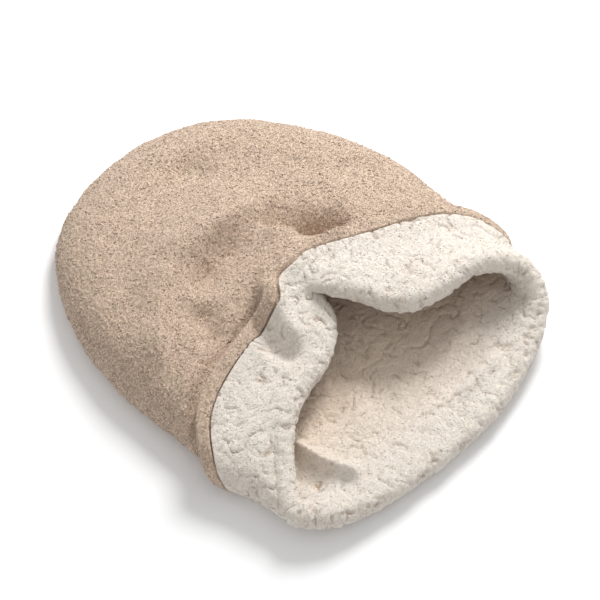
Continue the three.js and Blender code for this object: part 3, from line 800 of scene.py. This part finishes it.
@dataclass(frozen=True)
class FleeceCurls:
    """Curls of the shell's fleece, in millimetres."""

    curl: float = 4.0
    curl_height: float = 1.2
    clump: float = 9.0
    clump_height: float = 0.5
    swell: float = 34.0
    swell_height: float = 1.3
    seed: int = 11

    def heights(self, points: Array) -> tuple[Array, Array]:
        """Pile height in millimetres and as a share from 0 in the gaps to 1 on the curls; a low share
        darkens the colour in the gaps as painted shade.

        Args:
            points: places, in millimetres (..., 3).

        Returns:
            The heights and the shares.
        """
        curled = warped(points, 7.0, 3.0, self.seed)
        curls = np.clip(np.abs(lattice_noise(curled, self.curl, self.seed + 5)) * 2.6, 0, 1) ** 0.8
        clumped = warped(points, 16, 5, self.seed + 8)
        clumps = np.clip(np.abs(lattice_noise(clumped, self.clump, self.seed + 12)) * 2.4, 0, 1)
        swell = lattice_noise(points, self.swell, self.seed + 15)
        height = self.curl_height * curls + self.clump_height * clumps ** 0.7
        height = height + self.swell_height * swell
        return height, 0.65 * curls + 0.35 * clumps


@dataclass(frozen=True)
class PlushWrinkles:
    """Embossed wrinkles and pile of the lining's plush, in millimetres."""

    cell: float = 20.0
    depth: float = 2.3
    line: float = 0.06
    bead: float = 8.0
    bead_height: float = 0.45
    tuft: float = 3.4
    tuft_height: float = 0.35
    seed: int = 41

    def heights(self, points: Array) -> tuple[Array, Array]:
        """Pile height in millimetres and as a share from 0 in the wrinkles to 1 between them; a low
        share darkens the colour in the wrinkles as painted shade.

        Args:
            points: places, in millimetres (..., 3).

        Returns:
            The heights and the shares.
        """
        bent = warped(points, 14.0, 6.0, self.seed)
        field_ = lattice_noise(bent, self.cell, self.seed + 4)
        breaks = smooth_step(0.45 + 1.3 * lattice_noise(points, 17.0, self.seed + 6))
        groove = np.exp(-((field_ / self.line) ** 2)) * breaks
        second = lattice_noise(bent, self.cell * 0.62, self.seed + 9)
        groove2 = np.exp(-((second / (self.line * 0.8)) ** 2)) * smooth_step(
            0.25 + 1.5 * lattice_noise(points, 15.0, self.seed + 10))
        beads = np.clip(np.abs(lattice_noise(bent, self.bead, self.seed + 14)) * 2.2, 0, 1)
        tufts = lattice_noise(points, self.tuft, self.seed + 17)
        height = -self.depth * groove - 0.55 * self.depth * groove2 + self.bead_height * beads
        height += self.tuft_height * tufts + 1.6 * np.abs(field_)
        share = np.clip(1 - groove - 0.5 * groove2, 0, 1) * (0.8 + 0.2 * beads)
        return height, share


def spaced(lengths: Array, steps: Array) -> Array:
    """Places counted in rows, a wanted step apart.

    Args:
        lengths: the length of each row's stretch, in millimetres.
        steps: the wanted step on each stretch, in millimetres.

    Returns:
        The places, from the first row to the last.
    """
    out = [0.0]
    for k, (length, step) in enumerate(zip(lengths, steps)):
        count = max(1, round(length / step))
        out += [k + (n + 1) / count for n in range(count)]
    return np.array(out)


@dataclass
class Panel:
    """One cut panel of cloth, from the closed end over the lip to the cuff's free edge."""

    name: str
    cloth: Cloth
    upper: bool
    surface: SackSurface
    column_step: float
    edge_step: float
    row_steps: dict[int, float]
    hidden_rows: Array
    curls: FleeceCurls = FleeceCurls()
    wrinkles: PlushWrinkles = PlushWrinkles()
    seam_inset: float = 0.002

    @property
    def outer(self) -> bool:
        """Whether the panel's pile faces out of the sack."""
        return self.cloth is Cloth.FLEECE

    @property
    def last_row(self) -> int:
        """The row at which the panel ends."""
        return LAST_ROW if self.outer else LINING_END

    def columns(self) -> Array:
        """Places of the columns, closer where the side shows."""
        first = 0 if self.upper else PANEL_COLUMNS
        grid = self.surface.middle
        index = np.arange(first, first + PANEL_COLUMNS + 1) % LOOP_COLUMNS
        rows = slice(4, self.last_row, 3)
        lengths = np.linalg.norm(np.diff(grid[rows][:, index], axis=1), axis=2).mean(axis=0)
        near = np.minimum(np.arange(PANEL_COLUMNS), np.arange(PANEL_COLUMNS)[::-1]) < 3
        steps = np.where(near, self.edge_step, self.column_step)
        places = spaced(lengths, steps)
        places[0] += self.seam_inset
        places[-1] -= self.seam_inset
        return places + first

    def rows(self) -> Array:
        """Places of the rows on the side that shows."""
        grid = self.surface.middle[: self.last_row + 1]
        first = 0 if self.upper else PANEL_COLUMNS
        index = np.arange(first + 2, first + PANEL_COLUMNS - 1) % LOOP_COLUMNS
        lengths = np.linalg.norm(np.diff(grid[:, index], axis=0), axis=2).mean(axis=1)
        steps = []
        step = 4.0
        for k in range(self.last_row):
            step = self.row_steps.get(k, step)
            steps.append(step)
        return spaced(lengths, np.array(steps))

    def offsets(self, rows: Array, shown: bool) -> Array:
        """Distances of one side of the panel from the middle surface, in millimetres.

        Args:
            rows: places counted in rows.
            shown: whether it is the side with the pile.

        Returns:
            One distance for each row.
        """
        if not self.outer:
            return np.full(len(rows), -LINING_THICKNESS if shown else -PIECE_GAP / 2)
        rounding = np.clip(rows - (LAST_ROW - 1), 0, 1)
        if shown:
            return SHELL_THICKNESS - HEM_ROUNDING * rounding ** 2
        folded = rows >= HEM_FROM - ROW_SLACK
        wrapped = -LINING_THICKNESS + HEM_ROUNDING * rounding ** 2
        return np.where(folded, wrapped, PIECE_GAP / 2)

    def side(self, rows: Array, columns: Array, shown: bool) -> tuple[Array, Array]:
        """One side of the panel.

        Args:
            rows: places counted in rows.
            columns: places counted in columns.
            shown: whether it is the side with the pile.

        Returns:
            Points in millimetres, and each point's share of pile.
        """
        grid = self.surface.middle
        points, normals = sample_grid(grid, rows, columns)
        if self.upper:
            away = np.minimum(columns, PANEL_COLUMNS - columns)
            calm = smooth_step(away / 3.0)[None, :]
            points[..., 2] += relief(points, UPPER_FOLDS) * calm
        elif not self.outer:
            up = smooth_step((WALL_END + 1.5 - rows) / 2.5)[:, None]
            points[..., 2] += np.maximum(relief(points, FLOOR_FOLDS), FLOOR_DEPTH) * up
        lift = HEM_LIFT * smooth_step((rows - (LINING_END - 1.5)) / 1.5)[:, None]
        points = points - normals * lift[..., None]
        offsets = self.offsets(rows, shown)
        limit_out = self.limit(self.surface.reach_out, rows, columns)
        limit_in = self.limit(self.surface.reach_in, rows, columns)
        wanted = np.clip(offsets[:, None], -limit_in, limit_out)
        placed = points + normals * wanted[..., None]
        pile = np.full(placed.shape[:2], PLAIN_PILE)
        hem = self.outer and not shown
        if shown or hem:
            make = self.curls if self.outer else self.wrinkles
            heights, pile = make.heights(placed)
            if hem:
                strip = np.clip((rows - HEM_FROM) / (LAST_ROW - HEM_FROM), 0, 1)
                heights = np.where((rows >= HEM_FROM - ROW_SLACK)[:, None], heights, 0)
                heights = heights + HEM_BULGE * np.sin(np.pi * strip)[:, None]
            if not self.outer:
                turn = np.exp(-(((rows - WALL_END - 1.5) / KNOB_SPREAD) ** 2))[:, None]
                knobs = np.abs(lattice_noise(placed, KNOB_SIZE, KNOB_SEED))
                heights = heights + KNOB_HEIGHT * turn * knobs
            sign = 1.0 if self.outer and shown else -1.0
            edge = np.minimum(columns - columns[0], columns[-1] - columns)
            dip = SEAM_DIP[self.outer]
            heights = heights - dip * np.exp(-((edge / SEAM_DIP_WIDTH) ** 2))[None, :]
            # Painted shade: beside the hem the cloth sinks, and its pile share, and so its colour, is
            # darkened as if in shadow
            if shown and self.outer and self.upper:
                sunk = self.hem_groove(placed, rows, columns)
                heights = heights - HEM_GROOVE * sunk
                pile = pile * (1 - GROOVE_PAINTED_SHADE * sunk)
            # The hem strip is drawn lighter: its pile share is raised towards the tip colour
            if hem:
                pile = pile * 0.5 + 0.5
            placed = placed + normals * (sign * heights)[..., None]
        return placed, pile

    def hem_groove(self, points: Array, rows: Array, columns: Array) -> Array:
        """Share from 0 to 1 by which the cloth sinks beside the hem that lies on it, and by which
        painted shade darkens it there.

        Args:
            points: places, in millimetres.
            rows: their rows.
            columns: their columns.

        Returns:
            One share for each place.
        """
        edge = sample_grid(self.surface.middle, np.array([float(LAST_ROW)]), columns[::4])[0][0]
        near = np.full(points.shape[:2], 99.0)
        shown = rows < WALL_END - 1
        for place in edge:
            near[shown] = np.minimum(near[shown], np.linalg.norm(points[shown] - place, axis=-1))
        past = np.maximum(near - GROOVE_REACH, 0) / GROOVE_FADE
        return np.exp(-(past ** 2)) * (near < 60)

    def limit(self, limits: Array, rows: Array, columns: Array) -> Array:
        """The reach between the grid's points.

        Args:
            limits: the reach at each point of the grid.
            rows: places counted in rows.
            columns: places counted in columns.

        Returns:
            One reach for each place.
        """
        r0 = np.clip(rows.astype(int), 0, LAST_ROW - 1)
        c0 = np.floor(columns).astype(int)
        tr, tc = (rows - r0)[:, None], (columns - c0)[None, :]
        capped = np.minimum(limits, REACH_LIMIT)

        def at(i: Array, j: Array) -> Array:
            """The limits at rows and columns of the grid."""
            return capped[np.ix_(i, j % LOOP_COLUMNS)]

        return ((1 - tr) * ((1 - tc) * at(r0, c0) + tc * at(r0, c0 + 1))
                + tr * ((1 - tc) * at(r0 + 1, c0) + tc * at(r0 + 1, c0 + 1)))

    def build(self) -> bpy.types.Object:
        """The panel as one closed sheet.

        Returns:
            The panel's object, at the origin.
        """
        columns, rows = self.columns(), self.rows()
        back_rows = self.hidden_rows[::-1]
        front, front_pile = self.side(rows, columns, True)
        back, back_pile = self.side(back_rows, columns, False)
        points = np.concatenate([front, back])
        if self.outer and not self.upper:
            points[..., 2] = np.maximum(points[..., 2], 0.0)
        points[..., 2] = np.maximum(points[..., 2], 0.05)
        pile = np.concatenate([front_pile, back_pile])
        all_rows = np.concatenate([rows, back_rows])
        is_front = np.arange(len(all_rows)) < len(rows)
        if self.outer:
            seen = np.where(is_front, all_rows < WALL_END - 4, all_rows > HEM_FROM - 0.01)
        else:
            seen = is_front & (all_rows > (WALL_END - 2 if self.upper else 4))
        # Painted shade: deep inside the sack the lining's colour is tinted warmer and darker, where
        # shade falls
        inside = smooth_step((WALL_END - 1 - all_rows) / 6.0) * (not self.outer)
        spread = np.ones(points.shape[:2])
        count, width = points.shape[:2]
        index = np.arange(count * width).reshape(count, width)
        following = np.roll(index, -1, axis=0)
        corners = [index[:, :-1], following[:, :-1], following[:, 1:], index[:, 1:]]
        quads = np.stack(corners, axis=-1).reshape(-1, 4)
        ends = [self.cap(index[:, k], rows, flip) for k, flip in ((0, False), (-1, True))]
        triangles = np.concatenate(ends)
        if not self.outer:
            quads, triangles = quads[:, ::-1], triangles[:, ::-1]
        shares = {
            "pile": pile.ravel(),
            "seen": (seen[:, None] * spread).ravel(),
            "inside": (inside[:, None] * spread).ravel(),
        }
        placed = (points.reshape(-1, 3) - PLAN_MIDDLE) * MM
        return mesh_object(self.name, placed, quads, triangles, shares)

    def cap(self, loop: Array, rows: Array, flip: bool) -> Array:
        """Triangles that close one side edge of the sheet.

        Args:
            loop: the numbers of the edge's points, the shown side first.
            rows: the shown side's rows.
            flip: whether the triangles turn the other way.

        Returns:
            Rows of three point numbers.
        """
        front, back = loop[:len(rows)], loop[len(rows):][::-1]
        front_at, back_at = rows, self.hidden_rows
        a = b = 0
        out = []
        while a < len(front) - 1 or b < len(back) - 1:
            front_left, back_left = a < len(front) - 1, b < len(back) - 1
            if not back_left or (front_left and front_at[a + 1] <= back_at[b + 1]):
                out.append((front[a], back[b], front[a + 1]))
                a += 1
            else:
                out.append((front[a], back[b], back[b + 1]))
                b += 1
        out = np.array(out)
        return out[:, ::-1] if flip else out


def mesh_object(name: str, points: Array, quads: Array, triangles: Array,
                shares: dict[str, Array]) -> bpy.types.Object:
    """A mesh object at the origin.

    Args:
        name: the piece's name.
        points: its points, in metres.
        quads: its four-sided faces.
        triangles: its three-sided faces.
        shares: named values, one for each point.

    Returns:
        The object, linked to the scene.
    """
    mesh = bpy.data.meshes.new(name)
    mesh.vertices.add(len(points))
    mesh.vertices.foreach_set("co", np.ascontiguousarray(points, dtype=np.float32).ravel())
    corners = np.concatenate([quads.ravel(), triangles.ravel()]).astype(np.int32)
    quad_starts = np.arange(len(quads)) * 4
    starts = np.concatenate([quad_starts, len(quads) * 4 + np.arange(len(triangles)) * 3])
    mesh.loops.add(len(corners))
    mesh.loops.foreach_set("vertex_index", corners)
    mesh.polygons.add(len(starts))
    mesh.polygons.foreach_set("loop_start", starts.astype(np.int32))
    mesh.update(calc_edges=True)
    mesh.validate()
    mesh.polygons.foreach_set("use_smooth", np.ones(len(mesh.polygons), bool))
    for key, values in shares.items():
        layer = mesh.attributes.new(key, "FLOAT", "POINT")
        layer.data.foreach_set("value", values.astype(np.float32))
    thing = bpy.data.objects.new(name, mesh)
    bpy.context.scene.collection.objects.link(thing)
    return thing


class Graph:
    """Short hand for wiring a node tree."""

    def __init__(self, tree: bpy.types.NodeTree) -> None:
        """Keeps the tree, emptied."""
        self.tree = tree
        tree.nodes.clear()

    def add(self, kind: str, *, settings: dict | None = None, **inputs: object) -> bpy.types.Node:
        """Adds a node.

        Args:
            kind: the node's type.
            settings: its properties.
            inputs: values or links by socket name, with _ for a space, or i0, i1 by number.

        Returns:
            The node.
        """
        node = self.tree.nodes.new(kind)
        for key, value in (settings or {}).items():
            setattr(node, key, value)
        for key, value in inputs.items():
            by_number = key[0] == "i" and key[1:].isdigit()
            socket = node.inputs[int(key[1:]) if by_number else key.replace("_", " ")]
            if isinstance(value, bpy.types.NodeSocket):
                self.tree.links.new(value, socket)
            else:
                socket.default_value = value
        return node

    def math(self, operation: str, a: object, b: object = 0.0,
             clamp: bool = False) -> bpy.types.NodeSocket:
        """A sum, product or other operation.

        Args:
            operation: the operation's name.
            a: the first value or link.
            b: the second value or link.
            clamp: whether the result stays from 0 to 1.

        Returns:
            The result's socket.
        """
        settings = {"operation": operation, "use_clamp": clamp}
        return self.add("ShaderNodeMath", settings=settings, i0=a, i1=b).outputs[0]

    def mix(self, share: object, a: object, b: object) -> bpy.types.NodeSocket:
        """A colour between two.

        Args:
            share: share of the second colour.
            a: the first colour.
            b: the second colour.

        Returns:
            The colour's socket.
        """
        node = self.add("ShaderNodeMix", settings={"data_type": "RGBA"}, i0=share, i6=a, i7=b)
        return node.outputs[2]


def pile_group() -> bpy.types.NodeTree:
    """Fine curled pile: a height that varies over the surface, shared by both cloths.

    Returns:
        The node group.
    """
    tree = bpy.data.node_groups.new("curled_pile", "ShaderNodeTree")
    for name, default in (("Curl Size", 0.0035), ("Curl Warp", 0.8), ("Fibre Size", 0.0012)):
        socket = tree.interface.new_socket(name, in_out="INPUT", socket_type="NodeSocketFloat")
        socket.default_value = default
    for name in ("Height", "Fibre", "Patch"):
        tree.interface.new_socket(name, in_out="OUTPUT", socket_type="NodeSocketFloat")
    graph = Graph(tree)
    given = graph.add("NodeGroupInput").outputs
    place = graph.add("ShaderNodeTexCoord").outputs["Object"]
    curl = graph.math("DIVIDE", 1.0, given["Curl Size"])
    fibre = graph.math("DIVIDE", 1.0, given["Fibre Size"])
    curls = graph.add("ShaderNodeTexNoise", Vector=place, Scale=curl, Detail=1.0, Roughness=0.4,
                      Distortion=given["Curl Warp"])
    ridge = graph.math("ABSOLUTE", graph.math("SUBTRACT", curls.outputs["Fac"], 0.5))
    height = graph.math("POWER", graph.math("MULTIPLY", ridge, 15.0, clamp=True), 0.8)
    fibres = graph.add("ShaderNodeTexNoise", Vector=place, Scale=fibre, Detail=2.0, Roughness=0.6)
    patch = graph.add("ShaderNodeTexNoise", Vector=place, Scale=17.0, Detail=3.0, Roughness=0.55)
    graph.add("NodeGroupOutput", Height=height, Fibre=fibres.outputs["Fac"], Patch=patch.outputs["Fac"])
    return tree


def curl_tree() -> bpy.types.GeometryNodeTree:
    """Geometry Nodes that scatter small lying curls over the seen pile of a cloth.

    Returns:
        The node tree.
    """
    tree = bpy.data.node_groups.new("pile_curls", "GeometryNodeTree")
    face = tree.interface
    face.new_socket("Cloth", in_out="INPUT", socket_type="NodeSocketGeometry")
    for name, default in (("Density", 50000.0), ("Length", 0.002), ("Thickness", 0.001)):
        socket = face.new_socket(name, in_out="INPUT", socket_type="NodeSocketFloat")
        socket.default_value = default
    face.new_socket("Seed", in_out="INPUT", socket_type="NodeSocketInt").default_value = 1
    face.new_socket("Finish", in_out="INPUT", socket_type="NodeSocketMaterial")
    face.new_socket("Curls", in_out="OUTPUT", socket_type="NodeSocketGeometry")
    graph = Graph(tree)
    given = graph.add("NodeGroupInput").outputs
    seen = graph.add("GeometryNodeInputNamedAttribute", settings={"data_type": "FLOAT"}, Name="seen")
    density = graph.math("MULTIPLY", seen.outputs["Attribute"], given["Density"])
    points = graph.add("GeometryNodeDistributePointsOnFaces", Mesh=given["Cloth"], Density=density,
                       Seed=given["Seed"])
    ball = graph.add("GeometryNodeMeshIcoSphere", Radius=1.0, Subdivisions=1)
    size = graph.add("ShaderNodeCombineXYZ", X=given["Length"], Y=given["Thickness"],
                     Z=given["Thickness"])
    bead = graph.add("GeometryNodeTransform", Geometry=ball.outputs[0], Scale=size.outputs[0])
    smooth = graph.add("GeometryNodeSetShadeSmooth", Geometry=bead.outputs[0])
    stored = graph.add("GeometryNodeStoreNamedAttribute",
                       settings={"data_type": "FLOAT", "domain": "POINT"},
                       Geometry=smooth.outputs[0], Name="pile", Value=0.85)
    turn = graph.add("FunctionNodeRandomValue", settings={"data_type": "FLOAT_VECTOR"},
                     i0=(-0.15, -0.45, -math.pi), i1=(0.15, 0.45, math.pi), Seed=given["Seed"])
    euler = graph.add("FunctionNodeEulerToRotation", i0=turn.outputs[0])
    aligned = graph.add("FunctionNodeRotateRotation", settings={"rotation_space": "LOCAL"},
                        i0=points.outputs["Rotation"], i1=euler.outputs[0])
    grown = graph.add("FunctionNodeRandomValue", settings={"data_type": "FLOAT"}, i2=0.7, i3=1.25,
                      Seed=given["Seed"])
    placed = graph.add("GeometryNodeInstanceOnPoints", Points=points.outputs["Points"],
                       Instance=stored.outputs[0], Rotation=aligned.outputs[0], Scale=grown.outputs[1])
    real = graph.add("GeometryNodeRealizeInstances", Geometry=placed.outputs[0])
    dressed = graph.add("GeometryNodeSetMaterial", Geometry=real.outputs[0], Material=given["Finish"])
    graph.add("NodeGroupOutput", Curls=dressed.outputs[0])
    return tree


@dataclass(frozen=True)
class CurlCover:
    """Loose curls that stand out of a panel's pile; sizes in metres, density for a square metre."""

    density: float
    length: float
    thickness: float
    seed: int

    def grow(self, cloth: bpy.types.Object, tree: bpy.types.GeometryNodeTree,
             finish: bpy.types.Material) -> bpy.types.Object:
        """The curls as one plain mesh.

        Args:
            cloth: the panel that they grow on.
            tree: the Geometry Nodes that scatter them.
            finish: the pile's material.

        Returns:
            The curls' object, at the origin.
        """
        name = cloth.name.rsplit("_", 1)[0] + "_curls"
        thing = bpy.data.objects.new(name, cloth.data.copy())
        bpy.context.scene.collection.objects.link(thing)
        scatter = thing.modifiers.new("curls", "NODES")
        scatter.node_group = tree
        values = {"Density": self.density, "Length": self.length, "Thickness": self.thickness,
                  "Seed": self.seed, "Finish": finish}
        for item in tree.interface.items_tree:
            if item.name in values and item.in_out == "INPUT":
                scatter[item.identifier] = values[item.name]
        graph = bpy.context.evaluated_depsgraph_get()
        mesh = bpy.data.meshes.new_from_object(thing.evaluated_get(graph))
        thing.modifiers.clear()
        thing.data = mesh
        mesh.name = name
        return thing


@dataclass(frozen=True)
class PileFinish:
    """A pile cloth's colours and grain."""

    name: str
    tip: tuple[float, float, float]
    # The root colour is painted shade: the dark of the gaps between curls and of the plush's wrinkles
    root: tuple[float, float, float]
    tint: tuple[float, float, float]
    curl_size: float
    curl_warp: float
    fibre_size: float
    curl_share: float
    bump: float
    sheen: float
    # The inside colour is painted shade, a warmer and darker tint for the lining deep in the sack
    inside: tuple[float, float, float] = (0.78, 0.62, 0.48)
    inside_shade_share: float = 0.8

    def material(self, pile: bpy.types.NodeTree) -> bpy.types.Material:
        """The cloth's material.

        Args:
            pile: the shared node group of fine pile.

        Returns:
            The material.
        """
        made = bpy.data.materials.new(self.name)
        made.use_nodes = True
        made.diffuse_color = (*self.tip, 1)
        graph = Graph(made.node_tree)
        grain = graph.add("ShaderNodeGroup", settings={"node_tree": pile}, Curl_Size=self.curl_size,
                          Curl_Warp=self.curl_warp, Fibre_Size=self.fibre_size).outputs
        shape = graph.add("ShaderNodeAttribute", settings={"attribute_name": "pile"}).outputs["Fac"]
        fine = graph.math("MULTIPLY", grain["Height"], self.curl_share)
        both = graph.math("ADD", fine, graph.math("MULTIPLY", shape, 1 - self.curl_share))
        fibre = graph.math("MULTIPLY", graph.math("SUBTRACT", grain["Fibre"], 0.5), 0.5)
        share = graph.math("POWER", graph.math("ADD", both, fibre, clamp=True), 0.6)
        patch = graph.add("ShaderNodeMapRange", Value=grain["Patch"], From_Min=0.35, From_Max=0.65,
                          To_Min=0.0, To_Max=0.55).outputs[0]
        tips = graph.mix(patch, (*self.tip, 1), (*self.tint, 1))
        # Painted shade: deep in the sack the tip colour moves towards the inside shade colour
        inside = graph.add("ShaderNodeAttribute", settings={"attribute_name": "inside"}).outputs["Fac"]
        tips = graph.mix(graph.math("MULTIPLY", inside, self.inside_shade_share), tips, (*self.inside, 1))
        # Painted shade: where the pile share is low, in the gaps between curls and in wrinkles, the
        # colour darkens to the root colour
        colour = graph.mix(share, (*self.root, 1), tips)
        height = graph.math("ADD", fine, graph.math("MULTIPLY", grain["Fibre"], 0.35))
        bump = graph.add("ShaderNodeBump", Strength=1.0, Distance=self.bump, Height=height)
        shader = graph.add("ShaderNodeBsdfPrincipled", Base_Color=colour, Roughness=0.94,
                           Normal=bump.outputs[0])
        shader.inputs["Specular IOR Level"].default_value = 0.12
        shader.inputs["Sheen Weight"].default_value = self.sheen
        shader.inputs["Sheen Roughness"].default_value = 0.55
        graph.add("ShaderNodeOutputMaterial", Surface=shader.outputs[0])
        return made


COVERS = {
    "shell_top": CurlCover(34000.0, 0.0017, 0.0009, 3),
    "shell_base": CurlCover(18000.0, 0.0017, 0.0009, 4),
    "lining_top": CurlCover(40000.0, 0.0015, 0.0006, 5),
    "lining_base": CurlCover(30000.0, 0.0015, 0.0006, 6),
}
# The root colours below are painted shade for the gaps between curls and for the plush's wrinkles
FLEECE = PileFinish(
    name="tan_curly_fleece", tip=(0.70, 0.535, 0.405), root=(0.42, 0.28, 0.19),
    tint=(0.68, 0.515, 0.385), curl_size=0.0023, curl_warp=0.6, fibre_size=0.0009,
    curl_share=0.66, bump=0.0016, sheen=0.25,
)
PLUSH = PileFinish(
    name="cream_embossed_plush", tip=(0.77, 0.71, 0.635), root=(0.44, 0.325, 0.23),
    tint=(0.75, 0.685, 0.605), curl_size=0.0034, curl_warp=0.6, fibre_size=0.0011,
    curl_share=0.30, bump=0.0013, sheen=0.3,
)


@dataclass
class Studio:
    """Pale floor, soft light and the camera."""

    azimuth: float = -43.0
    elevation: float = 57.0
    distance: float = 1900.0
    mm_a_pixel: float = 1.15
    centre: tuple[float, float, float] = (-38.0, -42.0, 30.0)
    centre_pixel: tuple[float, float] = (290.0, 330.0)
    frame_pixels: float = 600.0
    key_watts: float = 35.0
    key_right: float = 0.34
    key_up: float = 0.86
    key_out: float = 1.3
    key_height: float = 1.35
    key_size: float = 0.8
    aim_height: float = 0.03
    sky: float = 0.65

    def camera(self) -> None:
        """The camera at the photograph's viewing angle."""
        a, e = math.radians(self.azimuth), math.radians(self.elevation)
        back = np.array([math.sin(a) * math.cos(e), -math.cos(a) * math.cos(e), math.sin(e)])
        right = np.array([math.cos(a), math.sin(a), 0.0])
        up = np.cross(back, right)
        focal = self.distance / self.mm_a_pixel
        dx, dy = ((p - self.frame_pixels / 2) / focal * self.distance for p in self.centre_pixel)
        place = np.array(self.centre) - PLAN_MIDDLE - right * dx + up * dy + back * self.distance
        lens = bpy.data.cameras.new("camera")
        lens.sensor_width = 36.0
        lens.lens = focal / self.frame_pixels * lens.sensor_width
        seen = bpy.data.objects.new("camera", lens)
        bpy.context.scene.collection.objects.link(seen)
        seen.location = Vector(place * MM)
        seen.rotation_euler = Matrix(np.stack([right, up, back], axis=1).tolist()).to_euler()
        bpy.context.scene.camera = seen

    def floor(self) -> None:
        """A plain pale floor."""
        points = np.array([(-3, -3, 0), (3, -3, 0), (3, 3, 0), (-3, 3, 0)], float)
        floor = mesh_object("floor", points, np.array([[0, 1, 2, 3]]), np.zeros((0, 3), int), {})
        made = bpy.data.materials.new("pale_floor")
        made.use_nodes = True
        graph = Graph(made.node_tree)
        place = graph.add("ShaderNodeTexCoord").outputs["Object"]
        tone = graph.add("ShaderNodeTexNoise", Vector=place, Scale=3.0, Detail=2.0).outputs["Fac"]
        colour = graph.mix(tone, (0.94, 0.94, 0.94, 1), (0.96, 0.96, 0.96, 1))
        shader = graph.add("ShaderNodeBsdfPrincipled", Base_Color=colour, Roughness=0.8)
        graph.add("ShaderNodeOutputMaterial", Surface=shader.outputs[0])
        floor.data.materials.append(made)

    def light(self) -> None:
        """A pale surround and one large soft lamp from behind, to the right."""
        world = bpy.data.worlds.new("surround")
        world.use_nodes = True
        world.node_tree.nodes["Background"].inputs[0].default_value = (1, 1, 1, 1)
        world.node_tree.nodes["Background"].inputs[1].default_value = self.sky
        bpy.context.scene.world = world
        right, up = np.array([0.731, -0.682, 0.0]), np.array([0.682, 0.731, 0.0])
        way = unit(right * self.key_right + up * self.key_up)
        lamp = bpy.data.lights.new("key", "AREA")
        lamp.shape = "DISK"
        lamp.size = self.key_size
        lamp.energy = self.key_watts
        key = bpy.data.objects.new("key", lamp)
        bpy.context.scene.collection.objects.link(key)
        key.location = Vector((way[0] * self.key_out, way[1] * self.key_out, self.key_height))
        aim = key.location - Vector((0, 0, self.aim_height))
        key.rotation_euler = aim.to_track_quat("Z", "Y").to_euler()
        bpy.context.scene.view_settings.view_transform = "Standard"


def main() -> None:
    """Builds the sack and its studio, and reports each piece."""
    logging.basicConfig(level=logging.INFO, format="%(name)s %(message)s")
    surface = SackSurface()
    pile, tree = pile_group(), curl_tree()
    fleece, plush = FLEECE.material(pile), PLUSH.material(pile)
    body_back = np.concatenate([np.arange(0, HEM_FROM - 1, 1.0), [HEM_FROM - 1.02]])
    hem_back = HEM_FROM + 2 * np.linspace(0, 1, 16)
    shell_back = np.concatenate([body_back, [HEM_FROM - 0.02], hem_back])
    shell_back[-1] = LAST_ROW
    lining_back = np.arange(0, LINING_END + 1, 1.0)
    panels = [
        Panel("shell_top_fleece", Cloth.FLEECE, True, surface, 1.82, 1.82,
              {0: 1.5, 14: 5.0, HEM_FROM: 2.0}, shell_back),
        Panel("shell_base_fleece", Cloth.FLEECE, False, surface, 6.0, 2.0,
              {0: 1.8, 2: 2.4, 14: 4.0, HEM_FROM: 2.0}, shell_back),
        Panel("lining_top_plush", Cloth.PLUSH, True, surface, 1.5, 1.5,
              {0: 9.0, 9: 2.4, 15: 1.5}, lining_back),
        Panel("lining_base_plush", Cloth.PLUSH, False, surface, 1.75, 1.6,
              {0: 8.0, 3: 1.7, FOLD_END: 3.0}, lining_back),
    ]
    for panel in panels:
        piece = panel.build()
        piece.data.materials.append(fleece if panel.outer else plush)
        node = panel.name.rsplit("_", 1)[0]
        curls = COVERS[node].grow(piece, tree, fleece if panel.outer else plush)
        for thing in (piece, curls):
            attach(thing, "root")
            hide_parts(node)
        faces, curl_faces = len(piece.data.polygons), len(curls.data.polygons)
        LOG.info("%s: %d faces, %d in its curls", panel.name, faces, curl_faces)
    studio = Studio()
    studio.floor()
    studio.light()
    studio.camera()


if __name__ == "__main__":
    main()
